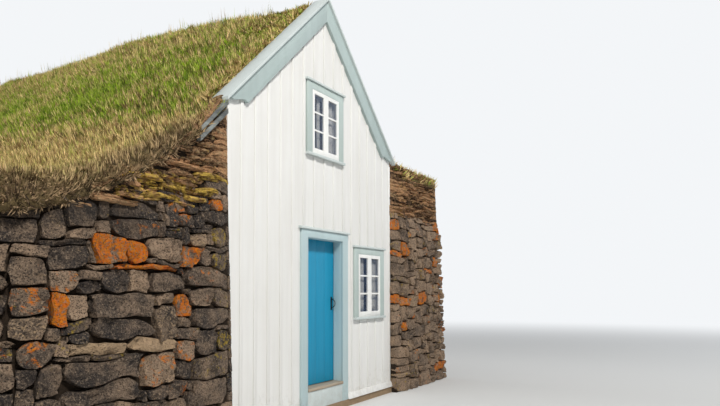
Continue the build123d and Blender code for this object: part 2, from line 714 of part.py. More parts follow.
def hinge_pintles():
    """Pins that stand on short arms from plates on the inside of the left jamb."""
    pintles = []
    for centre in STRAP_CENTRES:
        eye_low = centre - STRAP_HEIGHT / 2
        arm_top = eye_low - PINTLE_GAP
        arm_low = arm_top - PINTLE_ARM_HEIGHT
        plate = block((-HALF_FRAME, -HALF_REBATE - LEAF_GAP), (FRAME_BACK, FRAME_BACK + PINTLE_PLATE),
                      (arm_low - PINTLE_PLATE_HEIGHT / 2, arm_low + PINTLE_PLATE_HEIGHT / 2))
        arm = block((-HALF_FRAME, PIN_X), (PIN_Y - PINTLE_ARM_RADIUS, PIN_Y + PINTLE_ARM_RADIUS),
                    (arm_low, arm_top))
        boss = upright(PIN_X, PIN_Y, arm_low, arm_top, PINTLE_ARM_RADIUS)
        pin = upright(PIN_X, PIN_Y, arm_low, centre + STRAP_HEIGHT / 2 + PINTLE_GAP, PIN_RADIUS)
        pintles.append(plate + arm + boss + pin)
    return Compound(children=pintles)


def door_handle():
    """Iron plate with a bowed grip and a thumb piece above it."""
    centre_x = HALF_LEAF - HANDLE_FROM_EDGE
    half_plate = HANDLE_PLATE_WIDTH / 2
    plate_front = LEAF_SET_BACK - HANDLE_PLATE_THICKNESS
    plate = block((centre_x - half_plate, centre_x + half_plate), (plate_front, LEAF_SET_BACK),
                  (HANDLE_HEIGHT - HANDLE_PLATE_LENGTH / 2, HANDLE_HEIGHT + HANDLE_PLATE_LENGTH / 2))
    top = (centre_x, plate_front, HANDLE_HEIGHT + HANDLE_SPAN / 2)
    middle = (centre_x, plate_front - HANDLE_REACH, HANDLE_HEIGHT)
    bottom = (centre_x, plate_front, HANDLE_HEIGHT - HANDLE_SPAN / 2)
    bow = ThreePointArc(top, middle, bottom)
    rod = Plane(origin=bow @ 0, z_dir=bow % 0) * RegularPolygon(HANDLE_ROD_RADIUS, HANDLE_ROD_SIDES)
    grip = sweep(rod, path=bow)
    thumb_low = top[2] + HANDLE_ROD_RADIUS
    thumb = block((centre_x - THUMB_WIDTH / 2, centre_x + THUMB_WIDTH / 2),
                  (plate_front - THUMB_LENGTH, plate_front), (thumb_low, thumb_low + THUMB_THICKNESS))
    return plate + grip + thumb


# Windows
WINDOWS = (
    (LOWER_WINDOW_X, LOWER_SASH_WIDTH, LOWER_SASH_BOTTOM, LOWER_SASH_TOP),
    (UPPER_WINDOW_X, UPPER_SASH_WIDTH, UPPER_SASH_BOTTOM, UPPER_SASH_TOP),
)


def window_casing(centre, width, bottom, top):
    half = width / 2
    outer = block((centre - half - WINDOW_CASING_WIDTH, centre + half + WINDOW_CASING_WIDTH),
                  (-WINDOW_CASING_THICKNESS, 0), (bottom, top + WINDOW_HEAD_CASING))
    return outer - block((centre - half, centre + half), (-WINDOW_CASING_THICKNESS, 0), (bottom, top))


def window_cap(centre, width, bottom, top):
    half = width / 2 + WINDOW_CASING_WIDTH + WINDOW_CAP_OVERHANG
    low = top + WINDOW_HEAD_CASING
    return block((centre - half, centre + half), (-WINDOW_CAP_PROUD, 0), (low, low + WINDOW_CAP_HEIGHT))


def window_sill(centre, width, bottom, top):
    half = width / 2 + WINDOW_CASING_WIDTH + WINDOW_SILL_OVERHANG
    return block((centre - half, centre + half), (-WINDOW_SILL_PROUD, 0), (bottom - WINDOW_SILL_HEIGHT, bottom))


def window_lights(centre, width, bottom, top):
    """Low and high ends of the two glazed lights of a window."""
    half = width / 2
    z = (bottom + SASH_BOTTOM_RAIL, top - SASH_TOP_RAIL)
    left = (centre - half + SASH_STILE, centre - MEETING_STILE / 2)
    right = (centre + MEETING_STILE / 2, centre + half - SASH_STILE)
    return [(left, z), (right, z)]


def window_sash(centre, width, bottom, top):
    half = width / 2
    sash = block((centre - half, centre + half), (-SASH_THICKNESS, 0), (bottom, top))
    for x, z in window_lights(centre, width, bottom, top):
        sash = sash - block(x, (-SASH_THICKNESS, 0), z)
    return sash


def window_panes(centre, width, bottom, top):
    y = (-SASH_THICKNESS + GLASS_SET_BACK, -SASH_THICKNESS + GLASS_SET_BACK + GLASS_THICKNESS)
    return [block(x, y, z) for x, z in window_lights(centre, width, bottom, top)]


def for_each_window(make):
    return Compound(children=[make(*window) for window in WINDOWS])


def window_glass():
    panes = []
    for window in WINDOWS:
        panes.extend(window_panes(*window))
    return Compound(children=panes)


# The whole house
def all_pieces():
    pieces = stone_and_turf_walls()
    pieces.update(turf_roof())
    pieces.update({
        "front_footing": front_footing(),
        "roof_boards_left": roof_boards_left(),
        "roof_boards_right": mirrored(roof_boards_left()),
        "rafters_left": rafters_left(),
        "rafters_right": mirrored(rafters_left()),
        "collar_ties": collar_ties(),
        "wall_plates": wall_plates(),
        "side_posts": side_posts(),
        "loft_joists": loft_joists(),
        "loft_floor": loft_floor(),
        "floor_bearers": floor_bearers(),
        "floor_joists": floor_joists(),
        "ground_floor": ground_floor(),
        "front_wall_left": front_wall_left(),
        "front_wall_right": front_wall_right(),
        "front_wall_gable": front_wall_gable(),
        "bargeboard_left": bargeboard_left(),
        "bargeboard_right": mirrored(bargeboard_left()),
        "verge_cap_left": verge_cap_left(),
        "verge_cap_right": mirrored(verge_cap_left()),
        "wall_flashing": wall_flashing(),
        "base_boards": base_boards(),
        "door_frame": door_frame(),
        "door_casing": door_casing(),
        "door_cornice": door_cornice(),
        "door_threshold": door_threshold(),
        "door_riser": door_riser(),
        "door_leaf": door_leaf(),
        "door_handle": door_handle(),
        "hinge_straps": hinge_straps(),
        "hinge_pintles": hinge_pintles(),
        "window_casings": for_each_window(window_casing),
        "window_caps": for_each_window(window_cap),
        "window_sills": for_each_window(window_sill),
        "window_sashes": for_each_window(window_sash),
        "window_glass": window_glass(),
    })
    return pieces


os.makedirs("parts", exist_ok=True)
for name, piece in all_pieces().items():
    export_step(piece, f"parts/{name}.step")
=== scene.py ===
import json
import math
import random

import bpy
from mathutils import Matrix, Vector, noise

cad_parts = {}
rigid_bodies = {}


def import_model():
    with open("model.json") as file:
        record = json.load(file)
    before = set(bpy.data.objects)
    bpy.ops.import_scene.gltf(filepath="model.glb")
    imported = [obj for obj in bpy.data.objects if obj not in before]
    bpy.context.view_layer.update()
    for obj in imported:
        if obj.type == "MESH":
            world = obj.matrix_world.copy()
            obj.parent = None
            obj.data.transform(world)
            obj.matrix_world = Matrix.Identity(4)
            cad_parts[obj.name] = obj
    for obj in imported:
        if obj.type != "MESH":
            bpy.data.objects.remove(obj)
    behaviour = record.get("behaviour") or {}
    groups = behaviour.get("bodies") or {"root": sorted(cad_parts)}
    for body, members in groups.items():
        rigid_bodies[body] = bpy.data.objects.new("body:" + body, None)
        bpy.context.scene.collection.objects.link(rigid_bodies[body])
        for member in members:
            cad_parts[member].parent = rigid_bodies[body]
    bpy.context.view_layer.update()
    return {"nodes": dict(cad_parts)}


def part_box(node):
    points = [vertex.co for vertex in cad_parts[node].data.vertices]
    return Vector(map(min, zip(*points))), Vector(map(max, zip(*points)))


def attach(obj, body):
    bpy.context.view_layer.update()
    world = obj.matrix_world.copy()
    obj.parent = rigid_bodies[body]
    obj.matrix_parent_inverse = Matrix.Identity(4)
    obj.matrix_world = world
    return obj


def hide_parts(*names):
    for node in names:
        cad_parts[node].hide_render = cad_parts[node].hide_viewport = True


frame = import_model()

# Turf house: looks of every surface around the fixed frame. Metres, +Z up, front towards -Y.

# Vector noise takes its start from the clock unless it is given a seed
noise.seed_set(7)

# What a new Blender file holds
for leftover in ("Cube", "Camera", "Light"):
    if leftover in bpy.data.objects:
        bpy.data.objects.remove(bpy.data.objects[leftover])

# Camera, worked out from the photograph: angles in degrees, lens in millimetres
CAMERA_PLACE = (-7.211, -4.639, 1.672)
CAMERA_HEADING = 29.459
CAMERA_PITCH = 2.222
CAMERA_ROLL = -0.096
CAMERA_LENS = 31.0
CAMERA_SHIFT = 0.0884

# Walls, as the frame has them
LEFT_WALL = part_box("left_wall_stone")
FLANK_X = LEFT_WALL[0].x
FRONT_Y = LEFT_WALL[0].y
REAR_Y = LEFT_WALL[1].y
HALF_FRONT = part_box("front_footing")[1].x
PARTY_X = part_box("right_wall_stone")[1].x
PARTY_LENGTH = REAR_Y - FRONT_Y
CORNER_RADIUS = 0.65
STONE_TOP_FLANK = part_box("left_wall_turf")[0].z
STONE_TOP_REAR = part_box("rear_wall_turf")[0].z
PARTY_STONE_TOP, PARTY_TURF_TOP = [corner.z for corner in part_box("right_wall_turf")]

# How far each face leans back at the batter's height
BATTER_HEIGHT = 4.2
FRONT_BATTER = 0.15
FLANK_BATTER = 0.40
REAR_BATTER = 0.35

# Roof, as the frame has it
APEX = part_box("front_wall_gable")[1].z
EAVES = 3.835
SLOPE = (APEX - EAVES) / HALF_FRONT
BOARD_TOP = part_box("roof_boards_left")[1].z
SLOPES_END_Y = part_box("roof_turf_left")[1].y

# Courses: stones are laid in square cells, and their top drops by a step beside the timber front
CELL = 0.05
JOINT = 0.002
MIDDLE_HEIGHT = 1.2
STONE_TOP_INSIDE = 2.85
STONE_STEP = 0.16
STONE_STEP_REACH = (0.15, 0.45)
PIER_STONE_TOP = 2.95
STONE_LENGTHS = (3, 4, 5, 5, 6, 6, 7, 8, 9, 11)
STONE_HEIGHTS = (2, 3, 4, 4, 5)
NARROW_HEIGHTS = (2, 3, 4)

# Stones: how far they stand out, how they fade at a wall's ends and top, and their chips and corners
STONE_PROUD = 0.055
PROUD_SPREAD = (0.65, 1.25)
STONE_DEPTH = 0.125
STONE_JITTER = 0.08
STONE_TILT = 0.05
END_FADE = 0.35
TOP_FADE = 0.40
END_SHARE = 0.1
TOP_SHARE = 0.3
CHIP_DEPTH = 0.036
CHIP_SCALE = 7.5
CHIP_LEVEL = 0.9
CHIP_SHIFT = 50
PINCHES = (0.0, 0.03, 0.08, 0.2, 0.3)
PINCH_POWER = 1.5
END_OVERLAP = 0.025
OVERLAP_REACH = 0.20

# Bends of the courses: a broad one and a finer one, straight at a wall's ends and foot
WARP_REACH = 0.0504
WARP_SIZE = 0.34
WARP_END = 0.15
FINE_WARP = 0.4
FINE_WARP_SCALE = 2.7

# Marks that set stones apart, each drawn by chance
TONE_SPREAD = (1.2, 2.2)
ORANGE_COVERS = (0, 0, 0, 0, 0, 0, 0, 0, 0.15, 0.25, 0.4)
YELLOW_COVERS = (0, 0, 0, 0, 0, 0.2, 0.35)
PALE_COVERS = (0, 0.1, 0.15, 0.2, 0.3)

# Sods
SOD_HEIGHT = 0.050
SOD_LENGTH = 0.60
SOD_LENGTHS = (0.5, 1.3)
SOD_RISE = (0.60, 0.85)
SOD_COVER = 0.04
EDGE_SPAN = 0.3
SOD_PROUD = 0.05
SOD_PROUD_SPREAD = (0.2, 1.5)
SOD_JITTER = 0.12
SOD_SAG = 0.03
SOD_WAVE = 0.040
SOD_WAVE_LENGTH = 0.45
SOD_WAVE_HEIGHT = 0.35
SOD_ROUGH = 0.055
SOD_ROUGH_SCALE = 18.0
MOSS_SPREAD = (0.4, 1.0)
MOST_STRAW = 0.5
SOD_RETURN = 0.5
LOW_MOSS = 0.85
LOW_MOSS_RUN = (0.2, 1.6)
LOW_MOSS_HEIGHT = 0.24
HIGH_MOSS = 0.25

# Turf bed: how deep it lies under the grass, its lumps, and how its lip and ridge settle
VOXEL = 0.095
BED_DEPTH = 0.090
BOARD_COVER = 0.015
LEAST_COVER = 0.002
ON_BOARDS = 0.03
SWELL = 0.025
SWELL_SCALE = 1.7
LUMP = 0.018
LUMP_SCALE = 6.0
OPEN_FACING = 0.35
OPEN_RATE = 1.6
LIP_DROOP = 0.085
DROOP_Y = (0.45, 0.0)
DROOP_X = (0.1 - HALF_FRONT, -0.1 - HALF_FRONT)
DROOP_FACING = (0.5, -0.4)
RIDGE_SINK = 0.11
SINK_START = (2.5, 6.0)
SINK_END = (8.3, 7.6)
SINK_RISE = (3.6, 4.6)

# Blades of grass
BLADE_LENGTHS = (0.6, 1.15)
BLADE_WIDTHS = (0.7, 1.3)
BLADE_BENDS = (0.3, 1.4)
WIDEST_SHARE = 0.45
FOLD_SHARE = 0.4
ROOT_DEPTH = 0.01

# Where the grass grows: the ridge line, the split of the left slope, the crest and the brink
RIDGE_X = 0.05
SLOPE_SPLIT_Z = 4.0
CREST_HALF = 0.8
CREST_END_Y = 1.0
STALK_HALF = 0.9
STALK_START_Y = 0.8
GABLE_FRINGE_Y = 0.36
BRINK_TOP = 2.75
BRINK_REACH = 0.6
BRINK_FRONT_Y = 0.1
BRINK_FRONT_X = -0.35 - HALF_FRONT

# Where the roof is dry, as limits from none to full, and how dry each place is
FRONT_DRY_Y = (8.0, 3.0)
FRONT_RISE = 0.85
EDGE_DRY_Z = (3.35, 2.55)
GABLE_DRY_Y = (1.3, 0.1)
GABLE_DRY = 0.85
RIDGE_DRY_Z = (4.3, 5.5)
RIDGE_DRY = 0.72
PLACE_DRY = 0.90
PATCH_DRY = 0.62

# Where the lip of the roof is brown with soil and darkened by painted shade, and where painted shadow darkens
# the stones under it, as limits from none to full
SOIL_AND_SHADE_Z = (2.92, 2.44)
SOIL_AND_SHADE_MOST = 0.95
RIM_RISE_X = (-4.15, -2.10)
RIM_RISE = 0.85
RIM_Y = (0.9, 0.2)
LIP_SHADOW_Z = (2.10, 2.36)
LIP_SHADOW_X = (-2.9, -3.6)
LIP_SHADOW_MOST = 0.6

# Timber front
EDGE = 0.003
SLAT_EDGE = 0.005
BOARD_EDGE = 0.006
IRON_EDGE = 0.0015
BATTEN_PITCH = 0.25
BATTEN_WIDTH = 0.055
BATTEN_PROUD = 0.013
BATTEN_END = 0.12
BAR_WIDTH = 0.026
BAR_BACK = 0.003
DOOR_BOARDS = 4

# Curtains
CURTAIN_GAP = 0.05
FOLD_DEPTH = 0.012
FOLD_DRIFT = 0.6
DRIFT_RATE = 3.0
DRAW_RATE = 1.4
FOLD_STEPS = 8
CURTAIN_ROWS = 10
CLOTH_THICKNESS = 0.001

# Colours of stone, earth and lichen
ROCK_DARK = (0.036, 0.029, 0.026, 1)
ROCK_TAN = (0.370, 0.255, 0.168, 1)
GRIT_PALE = (0.40, 0.30, 0.21, 1)
GRIT_DARK = (0.012, 0.010, 0.010, 1)
# Painted shade inside the rock's pits
PORE_SHADE_BLACK = (0.010, 0.008, 0.008, 1)
BLOOM_PALE = (0.46, 0.32, 0.19, 1)
LICHEN_RUST = (0.60, 0.13, 0.001, 1)
LICHEN_ORANGE = (0.56, 0.175, 0.003, 1)
LICHEN_YELLOW = (0.40, 0.27, 0.025, 1)
# Painted shadow under the turf's lip, laid on the stones
LIP_SHADOW_BLACK = (0.012, 0.009, 0.007, 1)
EARTH_DARK = (0.008, 0.006, 0.005, 1)
EARTH_LIGHT = (0.050, 0.034, 0.022, 1)

# Colours of turf
SOD_DARK = (0.016, 0.009, 0.006, 1)
SOD_LIGHT = (0.64, 0.36, 0.185, 1)
SOD_DRY = (0.52, 0.37, 0.20, 1)
MOSS_DARK = (0.26, 0.15, 0.03, 1)
MOSS_LIGHT = (0.90, 0.63, 0.12, 1)
BED_GREEN_DARK = (0.030, 0.038, 0.006, 1)
BED_GREEN_LIGHT = (0.16, 0.17, 0.025, 1)
BED_STRAW_DARK = (0.040, 0.025, 0.013, 1)
BED_STRAW_LIGHT = (0.34, 0.24, 0.12, 1)
FRESH_DARK = (0.090, 0.20, 0.003, 1)
FRESH_LIGHT = (0.36, 0.53, 0.025, 1)
STRAW_DARK = (0.29, 0.17, 0.068, 1)
STRAW_LIGHT = (1.0, 0.76, 0.36, 1)
# Brown soil at the turf's lip, darkened as painted shade
SOIL_AND_SHADE_DARK = (0.030, 0.018, 0.011, 1)
SOIL_AND_SHADE_LIGHT = (0.46, 0.31, 0.18, 1)
BLADE_TIP = (0.72, 0.60, 0.20, 1)
# Painted shade at the blades' roots
ROOT_SHADE_DARK = (0.02, 0.018, 0.006, 1)

# Colours of wear, iron, glass, cloth and the stage
FOOT_DIRT = (0.30, 0.25, 0.19, 1)
WORN_PAINT = (0.26, 0.22, 0.18, 1)
IRON_BLACK = (0.018, 0.018, 0.02, 1)
IRON_RUST = (0.11, 0.045, 0.02, 1)
PANE_SKY_AND_ROOM_TINT = (0.015, 0.06, 0.16, 1)
CLOTH_SHADE = (0.62, 0.60, 0.55, 1)
CLOTH_LIGHT = (0.78, 0.77, 0.73, 1)
FLOOR_PALE = (0.72, 0.72, 0.71, 1)
FLOOR_FADE = (9.0, 28.0)
SKY_FILL = (0.86, 0.92, 1.0, 1)
SKY_STRENGTH = 0.21
BACKDROP = (0.90, 0.92, 0.94, 1)


# Handwork
def deselect():
    bpy.ops.object.select_all(action="DESELECT")


def pick(piece):
    deselect()
    piece.select_set(True)
    bpy.context.view_layer.objects.active = piece


def settle(piece):
    """Moves a piece's place, turn and scale into its mesh."""
    pick(piece)
    bpy.ops.object.transform_apply(location=True, rotation=True, scale=True)


def finish_with(piece, kind, **settings):
    """Adds a modifier and applies it."""
    pick(piece)
    modifier = piece.modifiers.new(kind.lower(), kind)
    for name, value in settings.items():
        setattr(modifier, name, value)
    bpy.ops.object.modifier_apply(modifier=modifier.name)


def start_edit(piece):
    pick(piece)
    bpy.ops.object.mode_set(mode="EDIT")
    bpy.ops.mesh.select_mode(type="VERT")
    bpy.ops.mesh.select_all(action="SELECT")


def end_edit():
    bpy.ops.object.mode_set(mode="OBJECT")


def join(pieces, name):
    deselect()
    for piece in pieces:
        piece.select_set(True)
    bpy.context.view_layer.objects.active = pieces[0]
    bpy.ops.object.join()
    joined = bpy.context.view_layer.objects.active
    joined.name = name
    return joined


def turned_out(piece):
    """Points every face of closed shells outwards."""
    start_edit(piece)
    bpy.ops.mesh.normals_make_consistent(inside=False)
    end_edit()


def smooth(piece, angle=35):
    pick(piece)
    bpy.ops.object.shade_smooth_by_angle(angle=math.radians(angle))


def ease_edges(piece, width):
    """Rounds the sharp edges of worked wood or iron."""
    finish_with(piece, "BEVEL", width=width, segments=2, limit_method="ANGLE", angle_limit=math.radians(30))


def own_copy(piece, name):
    """A copy with its own mesh."""
    copy = bpy.data.objects.new(name, piece.data.copy())
    bpy.context.scene.collection.objects.link(copy)
    return copy


def put_away(*pieces):
    for piece in pieces:
        bpy.data.objects.remove(piece)


def add_block(name, low, high):
    """A block between two corners, with its place in its mesh."""
    deselect()
    middle = [(a + b) / 2 for a, b in zip(low, high)]
    bpy.ops.mesh.primitive_cube_add(size=1, location=middle)
    piece = bpy.context.active_object
    piece.name = name
    piece.scale = [b - a for a, b in zip(low, high)]
    settle(piece)
    return piece


def dress(piece, material):
    piece.data.materials.clear()
    piece.data.materials.append(material)


def hand_over(piece, material, slot, *nodes, body="house"):
    """Gives a piece its material and body, and hides the frame's nodes that it stands for. The slot is not
    used.
    """
    dress(piece, material)
    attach(piece, body)
    if nodes:
        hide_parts(*nodes)
    return piece


# Shader nodes
class Sheet:
    """Writes nodes into one node tree."""

    def __init__(self, tree):
        self.tree = tree

    def add(self, kind, values=None, **settings):
        node = self.tree.nodes.new(kind)
        for name, value in settings.items():
            setattr(node, name, value)
        self.fill(node.inputs, values or {})
        return node

    def feed(self, socket, value):
        if isinstance(value, bpy.types.NodeSocket):
            self.tree.links.new(value, socket)
        else:
            socket.default_value = value

    def fill(self, sockets, values):
        for name, value in values.items():
            self.feed(sockets[name], value)

    def noise(self, vector, scale, detail=4.0, roughness=0.55, distortion=0.0):
        values = {"Vector": vector, "Scale": scale, "Detail": detail,
                  "Roughness": roughness, "Distortion": distortion}
        return self.add("ShaderNodeTexNoise", values).outputs[0]

    def cells(self, vector, scale):
        """Distance to the nearest of scattered points."""
        values = {"Vector": vector, "Scale": scale}
        return self.add("ShaderNodeTexVoronoi", values, feature="F1").outputs["Distance"]

    def stretched(self, vector, scales):
        values = {"Vector": vector, "Scale": scales}
        return self.add("ShaderNodeMapping", values).outputs[0]

    def times(self, vector, factor):
        node = self.add("ShaderNodeVectorMath", {"Scale": factor}, operation="SCALE")
        self.feed(node.inputs[0], vector)
        return node.outputs[0]

    def vector_sum(self, a, b):
        node = self.add("ShaderNodeVectorMath", operation="ADD")
        self.feed(node.inputs[0], a)
        self.feed(node.inputs[1], b)
        return node.outputs[0]

    def reckon(self, operation, *values):
        node = self.add("ShaderNodeMath", operation=operation)
        for socket, value in zip(node.inputs, values):
            self.feed(socket, value)
        return node.outputs[0]

    def step(self, value, low, high, to_low=0.0, to_high=1.0):
        """Smooth step of a value between two limits."""
        values = {"Value": value, "From Min": low, "From Max": high, "To Min": to_low, "To Max": to_high}
        return self.add("ShaderNodeMapRange", values, interpolation_type="SMOOTHSTEP").outputs[0]

    def blend(self, factor, a, b):
        node = self.add("ShaderNodeMix", data_type="RGBA", blend_type="MIX")
        self.feed(node.inputs[0], factor)
        self.feed(node.inputs[6], a)
        self.feed(node.inputs[7], b)
        return node.outputs[2]

    def mix_shaders(self, factor, a, b, output):
        """Feeds a mix of two shaders to the tree's output node."""
        node = self.add("ShaderNodeMixShader")
        for socket, value in zip(node.inputs, (factor, a, b)):
            self.feed(socket, value)
        self.feed(self.tree.nodes[output].inputs["Surface"], node.outputs[0])

    def split(self, vector):
        return self.add("ShaderNodeSeparateXYZ", {"Vector": vector}).outputs

    def attribute(self, name):
        return self.add("ShaderNodeAttribute", attribute_name=name).outputs

    def marks(self):
        """The four marks that set one stone or sod apart."""
        marks = self.attribute("marks")
        three = self.add("ShaderNodeSeparateColor", {"Color": marks["Color"]}).outputs
        return [*three, marks["Alpha"]]

    def here(self):
        """Object coordinates, which are places in the house's frame."""
        return self.add("ShaderNodeTexCoord").outputs["Object"]

    def effect(self, group, **values):
        return self.add("ShaderNodeGroup", values, node_tree=group).outputs

    def patches(self, vector, scale, cover, softness=0.08):
        return self.effect(PATCHES, Vector=vector, Scale=scale, Cover=cover, Softness=softness)["Mask"]

    def bump(self, height, distance):
        values = {"Height": height, "Distance": distance, "Strength": 1.0}
        return self.add("ShaderNodeBump", values).outputs[0]

    def chance(self, kind, low, high, seed):
        """A number or vector between two limits that differs from point to point."""
        first, second, out = RANDOM_SOCKETS[kind]
        node = self.add("FunctionNodeRandomValue", {"Seed": seed}, data_type=kind)
        self.feed(node.inputs[first], low)
        self.feed(node.inputs[second], high)
        return node.outputs[out]


# Sockets of the random value node for each kind: its two limits and its output
RANDOM_SOCKETS = {"FLOAT_VECTOR": (0, 1, 0), "FLOAT": (2, 3, 1)}


def effect_group(name, inputs, outputs):
    """An empty shader node group, its sheet and its input and output sockets."""
    tree = bpy.data.node_groups.new(name, "ShaderNodeTree")
    for label, value in inputs.items():
        kind = "NodeSocketVector" if value is None else "NodeSocketFloat"
        socket = tree.interface.new_socket(label, in_out="INPUT", socket_type=kind)
        if value is not None:
            socket.default_value = value
    for label in outputs:
        tree.interface.new_socket(label, in_out="OUTPUT", socket_type="NodeSocketFloat")
    sheet = Sheet(tree)
    start = sheet.add("NodeGroupInput").outputs
    end = sheet.add("NodeGroupOutput").inputs
    return tree, sheet, start, end


def make_pitting():
    """Coarse lumps, small pores and fine grit of a porous rock."""
    inputs = {"Vector": None, "Scale": 1.0}
    tree, sheet, start, end = effect_group("rock_pitting", inputs, ("Height", "Pores", "Mottle"))
    vector = sheet.times(start["Vector"], start["Scale"])
    lumps = sheet.noise(vector, 14.0, 6.0, 0.62, 0.3)
    pores = sheet.step(sheet.cells(vector, 62.0), 0.12, 0.42)
    grit = sheet.noise(vector, 150.0, 3.0, 0.7)
    rough = sheet.reckon("MULTIPLY_ADD", pores, 0.35, lumps)
    height = sheet.reckon("MULTIPLY_ADD", grit, 0.22, rough)
    mottle = sheet.noise(vector, 5.0, 5.0, 0.6)
    sheet.fill(end, {"Height": height, "Pores": pores, "Mottle": mottle})
    return tree


def make_patches():
    """Ragged patches that cover a given share of a surface."""
    inputs = {"Vector": None, "Scale": 9.0, "Cover": 0.3, "Softness": 0.08}
    tree, sheet, start, end = effect_group("ragged_patches", inputs, ("Mask",))
    broad = sheet.noise(start["Vector"], start["Scale"], 6.0, 0.68, 0.6)
    limits = {"Value": start["Cover"], "To Min": 0.76, "To Max": 0.30}
    limit = sheet.add("ShaderNodeMapRange", limits).outputs[0]
    low = sheet.reckon("SUBTRACT", limit, start["Softness"])
    high = sheet.reckon("ADD", limit, start["Softness"])
    sheet.fill(end, {"Mask": sheet.step(broad, low, high)})
    return tree


def make_grain():
    """Long grain of wood that runs along one axis of the vector."""
    tree, sheet, start, end = effect_group("wood_grain", {"Vector": None, "Scale": 1.0}, ("Grain", "Streak"))
    vector = sheet.times(start["Vector"], start["Scale"])
    grain = sheet.noise(vector, 60.0, 5.0, 0.65, 0.4)
    streak = sheet.noise(vector, 9.0, 4.0, 0.6, 0.2)
    sheet.fill(end, {"Grain": grain, "Streak": streak})
    return tree


PITTING = make_pitting()
PATCHES = make_patches()
GRAIN = make_grain()


# Materials
def new_material(name):
    """A material, its sheet and its shader's sockets."""
    material = bpy.data.materials.new(name)
    material.use_nodes = True
    sheet = Sheet(material.node_tree)
    shader = material.node_tree.nodes["Principled BSDF"]
    return material, sheet, shader.inputs


def make_basalt():
    """Dark porous rock with lichen, pale bloom, painted shade in its pits, and a band of painted shadow under
    the turf's lip.
    """
    material, sheet, shader = new_material("basalt_rubble")
    here = sheet.here()
    tone, orange, yellow, pale = sheet.marks()
    pitting = sheet.effect(PITTING, Vector=here, Scale=1.0)
    mottle = sheet.step(pitting["Mottle"], 0.3, 0.7)
    shade = sheet.reckon("ADD", sheet.reckon("MULTIPLY", mottle, 0.45), sheet.reckon("MULTIPLY", tone, 0.75))
    colour = sheet.blend(sheet.step(shade, 0.1, 1.1), ROCK_DARK, ROCK_TAN)
    grain = sheet.noise(here, 46.0, 4.0, 0.75)
    colour = sheet.blend(sheet.step(grain, 0.52, 0.66, 0.0, 0.62), colour, GRIT_PALE)
    colour = sheet.blend(sheet.step(grain, 0.47, 0.36, 0.0, 0.80), colour, GRIT_DARK)
    # Painted shade: the pits of the rock are darkened, standing in for the shade inside them.
    colour = sheet.blend(sheet.step(pitting["Pores"], 0.0, 1.0, 0.75, 0.0), colour, PORE_SHADE_BLACK)
    bloom = sheet.patches(here, 42.0, pale, 0.06)
    colour = sheet.blend(sheet.reckon("MULTIPLY", bloom, 0.75), colour, BLOOM_PALE)
    crust = sheet.patches(here, 9.0, orange, 0.05)
    thin = sheet.step(sheet.noise(here, 52.0, 5.0, 0.75), 0.38, 0.52, 0.08, 1.0)
    hue = sheet.blend(sheet.step(sheet.noise(here, 24.0), 0.35, 0.65), LICHEN_RUST, LICHEN_ORANGE)
    colour = sheet.blend(sheet.reckon("MULTIPLY", crust, thin), colour, hue)
    speck = sheet.patches(here, 18.0, yellow, 0.06)
    colour = sheet.blend(sheet.reckon("MULTIPLY", speck, 0.75), colour, LICHEN_YELLOW)
    place = sheet.split(here)
    # Painted shadow: stones just under the turf's lip get darker towards it, standing in for the overhang's
    # shade.
    shadow_by_height = sheet.step(place["Z"], *LIP_SHADOW_Z, 0.0, LIP_SHADOW_MOST)
    painted_lip_shadow = sheet.reckon("MULTIPLY", shadow_by_height, sheet.step(place["X"], *LIP_SHADOW_X))
    sheet.fill(shader, {
        "Base Color": sheet.blend(painted_lip_shadow, colour, LIP_SHADOW_BLACK),
        "Roughness": sheet.step(pitting["Mottle"], 0.2, 0.8, 0.95, 0.80),
        "Normal": sheet.bump(pitting["Height"], 0.045),
        "Specular IOR Level": 0.3})
    return material


def make_earth():
    """Dark packed earth in the joints and behind the stones."""
    material, sheet, shader = new_material("joint_earth")
    crumbs = sheet.noise(sheet.here(), 38.0, 6.0, 0.7)
    sheet.fill(shader, {
        "Base Color": sheet.blend(crumbs, EARTH_DARK, EARTH_LIGHT),
        "Normal": sheet.bump(crumbs, 0.02),
        "Roughness": 0.95,
        "Specular IOR Level": 0.15})
    return material


def make_sod():
    """Cut turf sods: brown fibres, dark soil, dry straw and moss."""
    material, sheet, shader = new_material("turf_sods")
    here = sheet.here()
    tone, moss, straw = sheet.marks()[:3]
    fibre = sheet.noise(sheet.stretched(here, (26.0, 26.0, 70.0)), 1.0, 6.0, 0.75, 0.6)
    clump = sheet.noise(here, 16.0, 4.0, 0.6)
    shade = sheet.reckon("ADD", fibre, sheet.reckon("MULTIPLY", tone, 0.22))
    colour = sheet.blend(sheet.step(shade, 0.46, 0.76), SOD_DARK, SOD_LIGHT)
    dry = sheet.patches(here, 20.0, straw, 0.12)
    colour = sheet.blend(sheet.reckon("MULTIPLY", dry, 0.8), colour, SOD_DRY)
    green = sheet.patches(here, 15.0, moss, 0.10)
    hue = sheet.blend(sheet.step(clump, 0.38, 0.62), MOSS_DARK, MOSS_LIGHT)
    sheet.fill(shader, {
        "Base Color": sheet.blend(sheet.reckon("MULTIPLY", green, 0.85), colour, hue),
        "Normal": sheet.bump(sheet.reckon("ADD", fibre, clump), 0.035),
        "Roughness": 0.95,
        "Specular IOR Level": 0.2})
    return material


